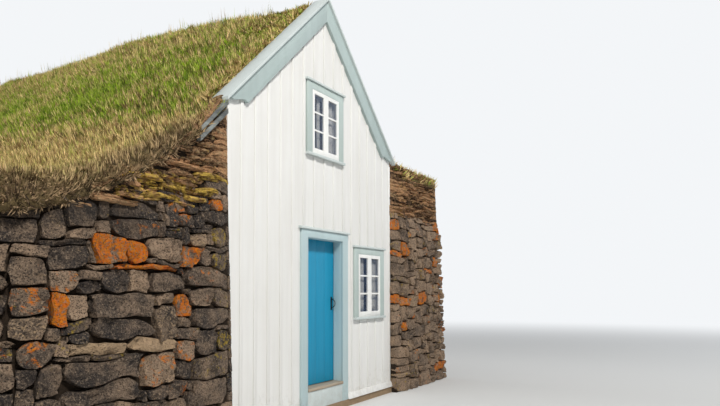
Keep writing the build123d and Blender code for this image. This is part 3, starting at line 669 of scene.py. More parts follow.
def dryness(sheet, here):
    """How dry the grass is: driest at the lower edges, near the gable, along the ridge and in patches."""
    place = sheet.split(here)
    patch = sheet.step(sheet.noise(here, 1.1, 6.0, 0.72, 0.5), 0.40, 0.68)
    front = sheet.reckon("MULTIPLY", sheet.step(place["Y"], *FRONT_DRY_Y), FRONT_RISE)
    low_edge = sheet.step(sheet.reckon("SUBTRACT", place["Z"], front), *EDGE_DRY_Z)
    gable = sheet.reckon("MULTIPLY", sheet.step(place["Y"], *GABLE_DRY_Y), GABLE_DRY)
    ridge = sheet.step(place["Z"], *RIDGE_DRY_Z, 0.0, RIDGE_DRY)
    most = sheet.reckon("MAXIMUM", sheet.reckon("MAXIMUM", low_edge, gable), ridge)
    most = sheet.reckon("MULTIPLY", most, PLACE_DRY)
    return sheet.reckon("MAXIMUM", most, sheet.reckon("MULTIPLY", patch, PATCH_DRY))


def make_turf_bed():
    """Matted ground between the blades of the roof."""
    material, sheet, shader = new_material("turf_bed")
    here = sheet.here()
    mat = sheet.noise(here, 34.0, 6.0, 0.72, 0.6)
    green = sheet.blend(mat, BED_GREEN_DARK, BED_GREEN_LIGHT)
    straw = sheet.blend(mat, BED_STRAW_DARK, BED_STRAW_LIGHT)
    sheet.fill(shader, {
        "Base Color": sheet.blend(dryness(sheet, here), green, straw),
        "Normal": sheet.bump(mat, 0.04),
        "Roughness": 0.95,
        "Specular IOR Level": 0.15})
    return material


def make_grass():
    """Grass blades: green where fresh, straw where dry, brown with soil at the lip and darkened down it as
    painted shade, with painted shade at their roots. Tone and shade vary by tuft.
    """
    material, sheet, shader = new_material("roof_grass")
    here = sheet.here()
    tone = sheet.attribute("tone")["Fac"]
    along = sheet.split(sheet.add("ShaderNodeUVMap").outputs[0])["Y"]
    dry = sheet.reckon("ADD", dryness(sheet, here), sheet.step(tone, 0.0, 1.0, -0.45, 0.45))
    bright = sheet.step(sheet.attribute("shade")["Fac"], 0.15, 0.85)
    fresh = sheet.blend(bright, FRESH_DARK, FRESH_LIGHT)
    straw = sheet.blend(bright, STRAW_DARK, STRAW_LIGHT)
    colour = sheet.blend(sheet.step(dry, 0.15, 0.85), fresh, straw)
    tip = sheet.blend(sheet.step(along, 0.55, 1.0), colour, BLADE_TIP)
    colour = sheet.blend(0.4, colour, tip)
    place = sheet.split(here)
    # Brown soil on the turf's lip, taking over further down it: the soil is real, and its darkening down the
    # lip is painted shade under the overhang.
    rise = sheet.step(place["X"], *RIM_RISE_X, 0.0, RIM_RISE)
    rim = sheet.reckon("MULTIPLY", rise, sheet.step(place["Y"], *RIM_Y))
    soil_and_shade = sheet.step(sheet.reckon("SUBTRACT", place["Z"], rim), *SOIL_AND_SHADE_Z, 0.0, SOIL_AND_SHADE_MOST)
    colour = sheet.blend(soil_and_shade, colour, sheet.blend(bright, SOIL_AND_SHADE_DARK, SOIL_AND_SHADE_LIGHT))
    # Painted shade: each blade darkens towards its root, where the sward shades it.
    root = sheet.step(along, 0.0, 0.45, 0.35, 1.0)
    sheet.fill(shader, {
        "Base Color": sheet.blend(root, ROOT_SHADE_DARK, colour),
        "Roughness": sheet.step(tone, 0.0, 1.0, 0.75, 0.55),
        "Specular IOR Level": 0.25})
    return material


def make_paint(name, colour, stain, wear, gloss):
    """Oil paint on upright boards, with grain under it, rain streaks, dirt at the foot and worn spots."""
    material, sheet, shader = new_material(name)
    here = sheet.here()
    grain = sheet.effect(GRAIN, Vector=sheet.stretched(here, (1.0, 1.0, 0.06)), Scale=1.0)
    board = sheet.noise(here, 1.6, 3.0, 0.5)
    shade = sheet.blend(sheet.step(grain["Streak"], 0.3, 0.75, 0.0, 0.30), colour, stain)
    shade = sheet.blend(sheet.step(board, 0.35, 0.75, 0.0, 0.18), shade, stain)
    foot = sheet.step(sheet.split(here)["Z"], 0.75, 0.05)
    dirt = sheet.patches(here, 9.0, sheet.reckon("MULTIPLY", foot, 0.6))
    shade = sheet.blend(sheet.reckon("MULTIPLY", dirt, 0.16), shade, FOOT_DIRT)
    worn = sheet.patches(here, 38.0, wear, 0.03)
    sheet.fill(shader, {
        "Base Color": sheet.blend(sheet.reckon("MULTIPLY", worn, 0.6), shade, WORN_PAINT),
        "Roughness": sheet.step(grain["Streak"], 0.2, 0.8, gloss, gloss + 0.15),
        "Normal": sheet.bump(grain["Grain"], 0.0012)})
    return material


def make_wood(name, dark, light, along):
    """Bare wood whose grain runs along the axis with the small scale."""
    material, sheet, shader = new_material(name)
    grain = sheet.effect(GRAIN, Vector=sheet.stretched(sheet.here(), along), Scale=1.0)
    colour = sheet.blend(sheet.step(grain["Streak"], 0.25, 0.75), dark, light)
    sheet.fill(shader, {
        "Base Color": sheet.blend(sheet.step(grain["Grain"], 0.5, 0.8, 0.0, 0.5), colour, dark),
        "Roughness": sheet.step(grain["Grain"], 0.2, 0.8, 0.6, 0.85),
        "Normal": sheet.bump(grain["Grain"], 0.002)})
    return material


def make_iron():
    """Black iron with a little rust."""
    material, sheet, shader = new_material("black_iron")
    here = sheet.here()
    scale = sheet.noise(here, 120.0, 5.0, 0.65)
    rust = sheet.patches(here, 70.0, 0.25)
    sheet.fill(shader, {
        "Base Color": sheet.blend(rust, IRON_BLACK, IRON_RUST),
        "Metallic": sheet.step(rust, 0.0, 1.0, 0.7, 0.1),
        "Roughness": sheet.step(scale, 0.3, 0.7, 0.35, 0.6),
        "Normal": sheet.bump(scale, 0.0006)})
    return material


def make_glass():
    """Old window glass, slightly wavy, with a dark blue tint that is a painted reflection of blue sky and
    painted shade of the dim room behind.
    """
    material, sheet, shader = new_material("window_pane")
    waves = sheet.noise(sheet.here(), 7.0, 2.0, 0.4)
    sheet.fill(shader, {
        "Normal": sheet.bump(waves, 0.004),
        # Painted reflection and shade: the dark blue stands in for the sky's reflection and the dim room seen
        # through the glass.
        "Base Color": PANE_SKY_AND_ROOM_TINT,
        "Roughness": 0.03,
        "Alpha": 0.22,
        "IOR": 1.52})
    return material


def make_cloth():
    """Pale woven cloth."""
    material, sheet, shader = new_material("curtain_cloth")
    weave = sheet.noise(sheet.stretched(sheet.here(), (900.0, 900.0, 900.0)), 1.0, 2.0)
    sheet.fill(shader, {
        "Base Color": sheet.blend(weave, CLOTH_SHADE, CLOTH_LIGHT),
        "Normal": sheet.bump(weave, 0.0004),
        "Roughness": 0.9})
    return material


BASALT = make_basalt()
EARTH = make_earth()
SOD = make_sod()
TURF_BED = make_turf_bed()
GRASS = make_grass()
WHITE_PAINT = make_paint("white_board_paint", (0.80, 0.795, 0.775, 1), (0.66, 0.64, 0.60, 1), 0.03, 0.45)
BARGE_PAINT = make_paint("barge_paint", (0.42, 0.51, 0.50, 1), (0.34, 0.41, 0.40, 1), 0.06, 0.45)
TRIM_PAINT = make_paint("pale_sage_paint", (0.47, 0.555, 0.53, 1), (0.38, 0.44, 0.42, 1), 0.06, 0.40)
DOORWAY_PAINT = make_paint("pale_blue_paint", (0.46, 0.58, 0.60, 1), (0.38, 0.47, 0.48, 1), 0.06, 0.40)
FRAME_PAINT = make_paint("door_frame_paint", (0.52, 0.66, 0.68, 1), (0.43, 0.54, 0.55, 1), 0.06, 0.40)
CAP_PAINT = make_paint("pale_cap_paint", (0.58, 0.64, 0.63, 1), (0.46, 0.51, 0.50, 1), 0.08, 0.40)
SASH_PAINT = make_paint("white_sash_paint", (0.88, 0.88, 0.86, 1), (0.72, 0.71, 0.67, 1), 0.03, 0.35)
DOOR_PAINT = make_paint("blue_door_paint", (0.001, 0.27, 0.46, 1), (0.001, 0.18, 0.33, 1), 0.03, 0.5)
BARE_WOOD = make_wood("bare_timber", (0.12, 0.075, 0.04, 1), (0.32, 0.22, 0.13, 1), (1.0, 0.08, 1.0))
WORN_WOOD = make_wood("worn_threshold", (0.20, 0.14, 0.09, 1), (0.46, 0.38, 0.29, 1), (0.08, 1.0, 1.0))
GREY_WOOD = make_wood("grey_plank", (0.08, 0.085, 0.085, 1), (0.30, 0.325, 0.31, 1), (0.12, 1.0, 1.0))
IRON = make_iron()
GLASS = make_glass()
CLOTH = make_cloth()


# Outer faces of the walls
def ease(value, low, high):
    """0 at low, 1 at high and smooth between."""
    share = min(1.0, max(0.0, (value - low) / (high - low)))
    return share * share * (3 - 2 * share)


def lean(amount, z):
    """How far a face that leans back by an amount at the batter's height has leant at z."""
    return amount * z / BATTER_HEIGHT


def outline_stretches(z):
    """Plan of the left and rear walls at a height, from the front's left edge round to the party wall."""
    left = FLANK_X + lean(FLANK_BATTER, z)
    front = FRONT_Y + lean(FRONT_BATTER, z)
    rear = REAR_Y - lean(REAR_BATTER, z)
    r = CORNER_RADIUS
    return [
        ("straight", Vector((-HALF_FRONT, front)), Vector((left + r, front)), -1),
        ("round", Vector((left + r, front + r)), -90.0),
        ("straight", Vector((left, front + r)), Vector((left, rear - r)), -1),
        ("round", Vector((left + r, rear - r)), -180.0),
        ("straight", Vector((left + r, rear)), Vector((PARTY_X, rear)), -1),
    ]


def stretch_length(stretch):
    """Length of one stretch of the outline."""
    if stretch[0] == "round":
        return CORNER_RADIUS * math.pi / 2
    return (stretch[2] - stretch[1]).length


STRETCHES = [stretch_length(stretch) for stretch in outline_stretches(MIDDLE_HEIGHT)]


def along_outline(s, z):
    """Point and outward direction on the left and rear walls' face, s metres along it."""
    index = 0
    while index < len(STRETCHES) - 1 and s > STRETCHES[index]:
        s -= STRETCHES[index]
        index += 1
    share = s / STRETCHES[index]
    stretch = outline_stretches(z)[index]
    if stretch[0] == "round":
        turn = math.radians(stretch[2] - 90.0 * share)
        outward = Vector((math.cos(turn), math.sin(turn)))
        plan = stretch[1] + outward * CORNER_RADIUS
    else:
        run = (stretch[2] - stretch[1]).normalized()
        outward = Vector((run.y * stretch[3], -run.x * stretch[3]))
        plan = stretch[1] + run * (stretch[2] - stretch[1]).length * share
    return Vector((plan.x, plan.y, z)), Vector((outward.x, outward.y, 0))


def along_pier(s, z):
    """Point and outward direction on the right wall's front, s metres from the timber front."""
    past = END_OVERLAP * max(0.0, 1.0 - s / OVERLAP_REACH)
    return Vector((HALF_FRONT + s - past, FRONT_Y + lean(FRONT_BATTER, z), z)), Vector((0, -1, 0))


def along_party(s, z):
    """Point and outward direction on the party wall's plain face, s metres from its front at the foot."""
    front = FRONT_Y + lean(FRONT_BATTER, z)
    rear = REAR_Y - lean(REAR_BATTER, z)
    return Vector((PARTY_X, front + (rear - front) * s / PARTY_LENGTH, z)), Vector((1, 0, 0))


def outline_top(s):
    """Height of the top course of stones along the left and rear walls."""
    front_run = STRETCHES[0] + STRETCHES[1]
    if s < front_run:
        step = ease(s, *STONE_STEP_REACH) * STONE_STEP
        return STONE_TOP_INSIDE - step + (STONE_TOP_FLANK - STONE_TOP_INSIDE + step) * s / front_run
    if s < sum(STRETCHES[:3]):
        return STONE_TOP_FLANK
    return STONE_TOP_REAR


# Covering of the walls
class Wall:
    """A wall's face to cover, and how its stones or sods lie: s runs along it, z up it."""

    def __init__(self, place, width, top, seed, low=None, proud=STONE_PROUD, fade=END_FADE,
                 light=0.0, lichen=1.0, moss=None):
        self.place = place
        self.width = width
        self.top = top
        self.low = low
        self.seed = seed
        self.proud = proud
        self.fade = fade
        self.light = light
        self.lichen = lichen
        self.moss = moss
        self.stops = [column * CELL for column in range(int(width / CELL))]


def rough_block(name, cuts, roundness, jitter, seed):
    """A rough block in a box of two metres, later fitted to its place as a stone or sod."""
    deselect()
    bpy.ops.mesh.primitive_cube_add(size=2)
    block = bpy.context.active_object
    block.name = name
    start_edit(block)
    bpy.ops.mesh.subdivide(number_cuts=cuts)
    bpy.ops.transform.tosphere(value=roundness)
    bpy.ops.transform.vertex_random(offset=jitter, seed=seed)
    end_edit()
    return block


def unit_points(block):
    """The block's points, scaled to fill a box from -1 to 1."""
    reach = [max(abs(v.co[axis]) for v in block.data.vertices) for axis in range(3)]
    return [Vector((v.co.x / reach[0], v.co.y / reach[1], v.co.z / reach[2])) for v in block.data.vertices]


def mark(piece, marks):
    """Stores the four marks that set one stone or sod apart, for its material."""
    colour = piece.data.attributes.new("marks", "FLOAT_COLOR", "POINT")
    for entry in colour.data:
        entry.color = marks


def cover(copies, name, angle, material, slot):
    """Joins fitted stones or sods to one piece of the house."""
    piece = join(copies, name)
    turned_out(piece)
    smooth(piece, angle)
    hand_over(piece, material, slot)


# Stonework
def lay_stones(wall, chosen, rng):
    """Fills a wall with stones of whole cells: (column, row, width, height, marks)."""
    columns = int(wall.width / CELL)
    rows = int(max(wall.top(s) for s in wall.stops) / CELL)
    taken = set()
    stones = []

    def put(column, row, width, height, marks):
        for c in range(column, column + width):
            for r in range(row, row + height):
                taken.add((c, r))
        stones.append((column, row, width, height, marks))

    for stone in chosen:
        put(*stone)
    for row in range(rows):
        for column in range(columns):
            top = wall.top(column * CELL)
            if (column, row) in taken or row * CELL > top:
                continue
            width = 1
            longest = rng.choice(STONE_LENGTHS)
            while width < longest and column + width < columns and (column + width, row) not in taken:
                width += 1
            height = 1
            tallest = rng.choice(STONE_HEIGHTS if width > 2 else NARROW_HEIGHTS)
            while (height < tallest and (row + height) * CELL < top + CELL
                   and all((c, row + height) not in taken for c in range(column, column + width))):
                height += 1
            put(column, row, width, height, None)
    return stones


def random_marks(wall, rng):
    """Tone, orange lichen, yellow lichen and pale bloom of one stone."""
    tone = min(1.0, rng.betavariate(*TONE_SPREAD) + wall.light)
    orange = wall.lichen * rng.choice(ORANGE_COVERS)
    yellow = rng.choice(YELLOW_COVERS)
    pale = rng.choice(PALE_COVERS)
    return (tone, orange, yellow, pale)


def warped(s, z, wall):
    """Bends the straight grid of stones into uneven courses, least at the wall's ends and foot."""
    inward = min(1.0, s / WARP_END, max(0.0, (wall.width - s)) / WARP_END)
    rise = min(1.0, max(0.0, z) / WARP_END)
    where = Vector((s / WARP_SIZE, z / WARP_SIZE, wall.seed))
    shift = noise.noise_vector(where) + FINE_WARP * noise.noise_vector(where * FINE_WARP_SCALE)
    return s + shift.x * WARP_REACH * inward, z + shift.y * WARP_REACH * rise


def fit_stone(pattern, points, stone, wall, rng):
    """Copies a pattern stone into its cells of the wall."""
    column, row, columns, rows, marks = stone
    copy = own_copy(pattern, "stone")
    half_s = columns * CELL / 2 - JOINT
    half_z = rows * CELL / 2 - JOINT
    middle_s = column * CELL + columns * CELL / 2
    middle_z = row * CELL + rows * CELL / 2
    top = wall.top(column * CELL)
    out = wall.proud * rng.uniform(*PROUD_SPREAD)
    tilt = rng.uniform(-STONE_TILT, STONE_TILT)
    flip = rng.choice((-1, 1))
    pinch = [rng.choice(PINCHES) for corner in range(4)]
    offset = Vector([rng.uniform(-CHIP_SHIFT, CHIP_SHIFT) for axis in range(3)])
    for vertex, point in zip(copy.data.vertices, points):
        corner = (point.x > 0) + 2 * (point.z > 0)
        cut = 1.0 - pinch[corner] * abs(point.x * point.z) ** PINCH_POWER
        u = point.x * flip * half_s * cut
        v = point.z * half_z * cut
        s, z = warped(middle_s + u - tilt * v, middle_z + v + tilt * u, wall)
        z = max(z, 0.0)
        s = min(max(s, 0.0), wall.width)
        depth = -point.y
        foot, outward = wall.place(s, z)
        rough = noise.fractal((foot + offset) * CHIP_SCALE, 0.7, 2.2, 4, noise_basis="VORONOI_F1")
        chips = (rough - CHIP_LEVEL) * CHIP_DEPTH * max(depth, 0)
        flush = min(1.0, END_SHARE + s / wall.fade, TOP_SHARE + max(top - z, 0.0) / TOP_FADE)
        reach = out * flush if depth > 0 else STONE_DEPTH
        vertex.co = foot + outward * (depth * reach - chips * flush)
    mark(copy, marks or random_marks(wall, rng))
    return copy


def stone_wall(name, patterns, wall, chosen=()):
    """Covers a wall with stones, the chosen ones first."""
    rng = random.Random(wall.seed)
    laid = lay_stones(wall, chosen, rng)
    points = {pattern.name: unit_points(pattern) for pattern in patterns}
    copies = []
    for stone in laid:
        pattern = rng.choice(patterns)
        copies.append(fit_stone(pattern, points[pattern.name], stone, wall, rng))
    cover(copies, name, 55, BASALT, "stone")


def front_stone(x_left, x_right, low, high, tone, orange=0.0, yellow=0.0, pale=0.2):
    """A stone of the left front wall at its real place, set on the grid of cells."""
    column = round((-HALF_FRONT - x_right) / CELL)
    columns = max(1, round((x_right - x_left) / CELL))
    row = round(low / CELL)
    rows = max(1, round((high - low) / CELL))
    return (column, row, columns, rows, (tone, orange, yellow, pale))


# Stones that stand out on the left front wall: left, right, low, high, then their marks
FRONT_STONES = [
    front_stone(-3.85, -3.50, 1.90, 2.15, 0.35, orange=0.62),
    front_stone(-3.50, -3.25, 1.90, 2.15, 0.40, orange=1.0),
    front_stone(-3.25, -2.90, 1.95, 2.15, 0.80),
    front_stone(-3.65, -2.80, 1.85, 1.90, 0.50, orange=0.85, pale=0.4),
    front_stone(-3.65, -3.10, 2.15, 2.35, 0.15, orange=0.30),
    front_stone(-3.65, -3.10, 2.35, 2.50, 0.10, yellow=0.15),
    front_stone(-2.70, -2.45, 2.10, 2.25, 0.95, pale=0.5),
    front_stone(-2.80, -2.55, 1.90, 2.10, 0.50, orange=0.62),
    front_stone(-2.85, -2.60, 2.30, 2.45, 0.30, orange=0.45),
    front_stone(-2.35, -2.15, 2.50, 2.65, 0.45, orange=0.55),
    front_stone(-2.35, -2.05, 2.15, 2.35, 0.30, yellow=0.50),
    front_stone(-2.40, -2.05, 1.90, 2.10, 0.20, yellow=0.40),
    front_stone(-3.75, -3.45, 1.65, 1.85, 0.15),
    front_stone(-3.45, -3.20, 1.65, 1.85, 0.90, pale=0.35),
    front_stone(-3.20, -2.75, 1.65, 1.85, 0.20),
    front_stone(-2.75, -2.05, 1.70, 1.90, 0.50, orange=0.30),
    front_stone(-3.85, -3.10, 1.45, 1.65, 0.30),
    front_stone(-2.85, -2.65, 1.40, 1.65, 0.40, orange=0.66),
    front_stone(-2.65, -2.35, 1.50, 1.70, 0.60, orange=0.28),
    front_stone(-2.35, -2.05, 1.50, 1.70, 0.40, yellow=0.30),
    front_stone(-3.80, -3.10, 1.25, 1.45, 0.15),
    front_stone(-3.10, -2.85, 1.20, 1.55, 0.30, pale=0.4),
    front_stone(-2.65, -2.05, 1.30, 1.50, 0.25, yellow=0.15),
    front_stone(-4.00, -3.45, 1.15, 1.25, 0.85, pale=0.75),
    front_stone(-3.45, -2.85, 1.10, 1.25, 1.00, pale=0.80),
    front_stone(-2.60, -2.30, 1.05, 1.30, 0.20),
    front_stone(-2.30, -2.05, 1.05, 1.25, 0.20, yellow=0.45),
    front_stone(-3.25, -2.85, 0.80, 1.10, 0.85, orange=0.42, pale=0.4),
    front_stone(-4.05, -3.25, 0.90, 1.10, 0.20),
    front_stone(-4.05, -3.25, 0.70, 0.90, 0.25),
    front_stone(-2.60, -2.05, 0.80, 1.05, 0.40, yellow=0.30),
    front_stone(-2.60, -2.10, 0.50, 0.80, 0.35),
    front_stone(-4.20, -4.05, 1.40, 1.65, 0.50, orange=0.72),
    front_stone(-4.45, -4.20, 1.30, 1.50, 0.40, pale=0.45),
    front_stone(-4.10, -3.80, 2.10, 2.20, 0.70),
    front_stone(-4.20, -3.90, 1.85, 2.05, 0.20),
]


def stone_patterns(name, cuts, roundnesses, first_seed):
    """Pattern stones of one fineness, from blocky to round."""
    return [rough_block(f"{name}_stone_{i}", cuts, roundness, STONE_JITTER, first_seed + i)
            for i, roundness in enumerate(roundnesses)]


def model_stonework():
    fine = stone_patterns("fine", 6, (0.03, 0.07, 0.12, 0.20), 0)
    middling = stone_patterns("middling", 4, (0.05, 0.12, 0.20), 5)
    plain = stone_patterns("plain", 2, (0.08, 0.18, 0.3), 9)
    flat = stone_patterns("flat", 1, (0.05, 0.15), 13)
    front_run = STRETCHES[0] + STRETCHES[1]
    flank_run = sum(STRETCHES[:4]) - front_run
    rear_run = sum(STRETCHES) - front_run - flank_run
    front = Wall(along_outline, front_run, outline_top, seed=3)
    flank = Wall(lambda s, z: along_outline(s + front_run, z), flank_run,
                 lambda s: STONE_TOP_FLANK, seed=5, fade=CELL)
    rear = Wall(lambda s, z: along_outline(s + front_run + flank_run, z), rear_run,
                lambda s: STONE_TOP_REAR, seed=7, fade=CELL)
    pier = Wall(along_pier, PARTY_X - HALF_FRONT, lambda s: PIER_STONE_TOP, seed=11, light=0.32, lichen=1.7)
    party = Wall(along_party, PARTY_LENGTH, lambda s: PARTY_STONE_TOP, seed=13, proud=0.02)
    stone_wall("left_front_stones", fine, front, FRONT_STONES)
    stone_wall("left_flank_stones", plain, flank)
    stone_wall("rear_stones", plain, rear)
    stone_wall("right_pier_stones", middling, pier)
    stone_wall("party_wall_stones", flat, party)
    put_away(*fine, *middling, *plain, *flat)


# Sods
def sod_wall(name, sod, wall):
    """Courses of sods between two heights that vary along the wall."""
    rng = random.Random(wall.seed)
    points = unit_points(sod)
    copies = []
    z = min(wall.low(s) for s in wall.stops)
    peak = max(wall.top(s) for s in wall.stops)
    while z < peak:
        s = -rng.uniform(0, SOD_LENGTH / 2)
        while s < wall.width:
            length = SOD_LENGTH * rng.uniform(*SOD_LENGTHS)
            middle = min(max(s + length / 2, 0.0), wall.width)
            if wall.low(middle) - SOD_HEIGHT / 2 < z < wall.top(middle) - SOD_HEIGHT / 2:
                copies.append(fit_sod(sod, points, s, z, length, wall.moss(middle, z), wall, rng))
            s += length
        z += SOD_HEIGHT * rng.uniform(*SOD_RISE)
    cover(copies, name, 60, SOD, "wall_turf")


def fit_sod(sod, points, low_s, low_z, length, moss, wall, rng):
    """Copies the pattern sod into its course of the wall. Its marks are tone, moss and straw."""
    copy = own_copy(sod, "sod")
    out = wall.proud * rng.uniform(*SOD_PROUD_SPREAD)
    sag = rng.uniform(0.0, SOD_SAG)
    for vertex, point in zip(copy.data.vertices, points):
        s = min(max(low_s + length * (point.x + 1) / 2, 0.0), wall.width)
        flush = min(1.0, END_SHARE + s / wall.fade, END_SHARE + (wall.width - s) / wall.fade)
        z = low_z + SOD_HEIGHT * (point.z + 1) / 2
        wave = noise.noise_vector(Vector((s / SOD_WAVE_LENGTH, low_z / SOD_WAVE_HEIGHT, wall.seed)))
        z += wave.y * SOD_WAVE - sag * point.x * point.x
        z = min(z, wall.top(s) + SOD_HEIGHT * point.z / 4)
        depth = -point.y
        foot, outward = wall.place(s, z)
        rough = noise.fractal(foot * SOD_ROUGH_SCALE, 0.7, 2.1, 4) * SOD_ROUGH * max(depth, 0)
        reach = out * flush if depth > 0 else STONE_DEPTH
        vertex.co = foot + outward * (depth * reach + rough * flush)
    mark(copy, (rng.random(), moss * rng.uniform(*MOSS_SPREAD), rng.uniform(0.0, MOST_STRAW), 1.0))
    return copy


def roof_line(x):
    """Height of the roof slope over the front wall at x."""
    return APEX - SLOPE * abs(x)


# Underside of the roof turf's front edge, from the flank to the timber front: x, z
TURF_RIM = ((-4.58, 2.31), (-4.15, 2.41), (-3.94, 2.49), (-3.70, 2.59), (-3.50, 2.70), (-3.20, 2.83),
            (-3.00, 2.96), (-2.80, 3.12), (-2.60, 3.28), (-2.40, 3.46), (-2.10, 3.77), (-2.00, 3.84))


def under_turf(x):
    """Height on the front wall at which the roof turf's edge starts, at x."""
    for (left, low), (right, high) in zip(TURF_RIM, TURF_RIM[1:]):
        if x < right:
            return low + (high - low) * max(0.0, x - left) / (right - left)
    return TURF_RIM[-1][1]


def left_sod_top(s):
    """Height up to which sods show on the left front wall, s metres from the timber front."""
    return under_turf(-HALF_FRONT - s) + SOD_COVER


def left_moss(s, z):
    """Moss lies thickest on the lowest sods beside the timber front."""
    low = LOW_MOSS_RUN[0] < s < LOW_MOSS_RUN[1] and z < outline_top(s) + LOW_MOSS_HEIGHT
    return LOW_MOSS if low else HIGH_MOSS


def party_turf_top(s):
    """Height of the turf over the party wall, s metres from its front."""
    y = FRONT_Y + s
    if y < SLOPES_END_Y:
        return PARTY_TURF_TOP
    edge = [v.co for v in frame["nodes"]["roof_turf_rear"].data.vertices if v.co.x > PARTY_X - 0.01]
    nearest = min(abs(p.y - y) for p in edge)
    return max(p.z for p in edge if abs(p.y - y) < nearest + EDGE_SPAN) - 2 * SOD_HEIGHT


def model_sods():
    sod = rough_block("sod_pattern", 4, 0.15, SOD_JITTER, 4)
    plain_sod = rough_block("plain_sod_pattern", 1, 0.15, SOD_JITTER, 4)
    left = Wall(along_outline, STRETCHES[0] + SOD_RETURN, left_sod_top, seed=17, low=outline_top,
                proud=SOD_PROUD, moss=left_moss)
    pier = Wall(along_pier, PARTY_X - HALF_FRONT, lambda s: PARTY_TURF_TOP, seed=19,
                low=lambda s: PIER_STONE_TOP, proud=SOD_PROUD, moss=lambda s, z: 0.3)
    party = Wall(along_party, PARTY_LENGTH, party_turf_top, seed=23,
                 low=lambda s: PARTY_STONE_TOP, proud=0.015, moss=lambda s, z: 0.2)
    sod_wall("left_wall_sods", sod, left)
    sod_wall("right_pier_sods", sod, pier)
    sod_wall("party_wall_sods", plain_sod, party)
    put_away(sod, plain_sod)


# Turf roof
ROOF_NODES = ("roof_turf_left", "roof_turf_right", "roof_turf_rear")


def over_boards(place):
    """How far a point lies above the roof boards' outer face."""
    return place.z - (BOARD_TOP - SLOPE * abs(place.x))


def thicken_over_boards(part):
    """Moves the underside on the boards down, so that remeshing leaves no holes where the turf is thin."""
    for vertex in part.data.vertices:
        if abs(vertex.co.x) < HALF_FRONT and abs(over_boards(vertex.co)) < ON_BOARDS:
            vertex.co.z -= 2 * VOXEL


def settled(place, normal):
    """Where a point of the mound comes to lie: sunk under the grass, lumpy, and drooping at the front lip."""
    outside = min(1.0, max(0.0, normal.z + OPEN_FACING) * OPEN_RATE)
    swell = noise.fractal(place * SWELL_SCALE, 0.9, 2.1, 3) * SWELL
    lumps = noise.fractal(place * LUMP_SCALE, 0.8, 2.1, 3) * LUMP
    sink = RIDGE_SINK * ease(place.y, *SINK_START) * ease(place.y, *SINK_END) * ease(place.z, *SINK_RISE)
    lain = place + normal * (swell + lumps - BED_DEPTH - sink) * outside
    droop = LIP_DROOP * ease(place.y, *DROOP_Y) * ease(place.x, *DROOP_X)
    droop *= ease(normal.z, *DROOP_FACING)
    lain += Vector((0, -droop, -droop))
    if abs(place.x) < HALF_FRONT and place.y < SLOPES_END_Y - VOXEL:
        least = BOARD_COVER if normal.z > 0.1 else LEAST_COVER
        lain.z += max(0.0, least - over_boards(lain))
    return lain


def model_turf_bed():
    """The whole turf mound as one uneven skin over the frame's three parts."""
    parts = [own_copy(frame["nodes"][node], "turf_part") for node in ROOF_NODES]
    for part in parts:
        thicken_over_boards(part)
        start_edit(part)
        bpy.ops.mesh.remove_doubles(threshold=0.0001)
        end_edit()
    bed = parts[0]
    for part in parts[1:]:
        finish_with(bed, "BOOLEAN", operation="UNION", object=part, solver="EXACT")
        put_away(part)
    bed.name = "turf_bed"
    finish_with(bed, "REMESH", mode="VOXEL", voxel_size=VOXEL)
    finish_with(bed, "SMOOTH", factor=0.6, iterations=4)
    places = []
    for vertex in bed.data.vertices:
        places.extend(settled(vertex.co, vertex.normal))
    bed.data.vertices.foreach_set("co", places)
    bed.data.update()
    pick(bed)
    bpy.ops.object.shade_smooth()
    return hand_over(bed, TURF_BED, "grass_turf", *ROOF_NODES)


# Grass
def model_blade(length, width, bend):
    """One grass blade: a narrow kite of two triangles, folded and bent at its widest place."""
    deselect()
    bpy.ops.mesh.primitive_plane_add(size=1, location=(0, 0, 0.5))
    blade = bpy.context.active_object
    settle(blade)
    mesh = blade.data
    widest = length * WIDEST_SHARE
    fold = bend * FOLD_SHARE
    corners = {(-1, -1): (0, 0, 0), (1, -1): (width / 2, fold, widest),
               (1, 1): (0, bend, length), (-1, 1): (-width / 2, fold, widest)}
    heights = {}
    for vertex in mesh.vertices:
        key = (round(math.copysign(1, vertex.co.x)), round(math.copysign(1, vertex.co.y)))
        vertex.co = corners[key]
        heights[vertex.index] = vertex.co.z / length
    layer = mesh.uv_layers.active.data
    for loop in mesh.loops:
        layer[loop.index].uv = (0.5, heights[loop.vertex_index])
    return blade


def model_tuft(name, rng, blades, length, width, spread, lean_out):
    """Blades that fan out from one root."""
    made = []
    for i in range(blades):
        size = length * rng.uniform(*BLADE_LENGTHS)
        wide = width * rng.uniform(*BLADE_WIDTHS)
        blade = model_blade(size, wide, lean_out * size * rng.uniform(*BLADE_BENDS))
        blade.rotation_euler = (0, 0, rng.uniform(0, math.tau))
        blade.location = (rng.uniform(-spread, spread), rng.uniform(-spread, spread), -ROOT_DEPTH)
        settle(blade)
        made.append(blade)
    tuft = join(made, name)
    dress(tuft, GRASS)
    return tuft


def tuft_set(name, count, rng, **build):
    """A collection of like tufts to scatter."""
    collection = bpy.data.collections.new(name + "s")
    for i in range(count):
        tuft = model_tuft(f"{name}_{i}", rng, **build)
        for home in list(tuft.users_collection):
            home.objects.unlink(tuft)
        collection.objects.link(tuft)
    return collection


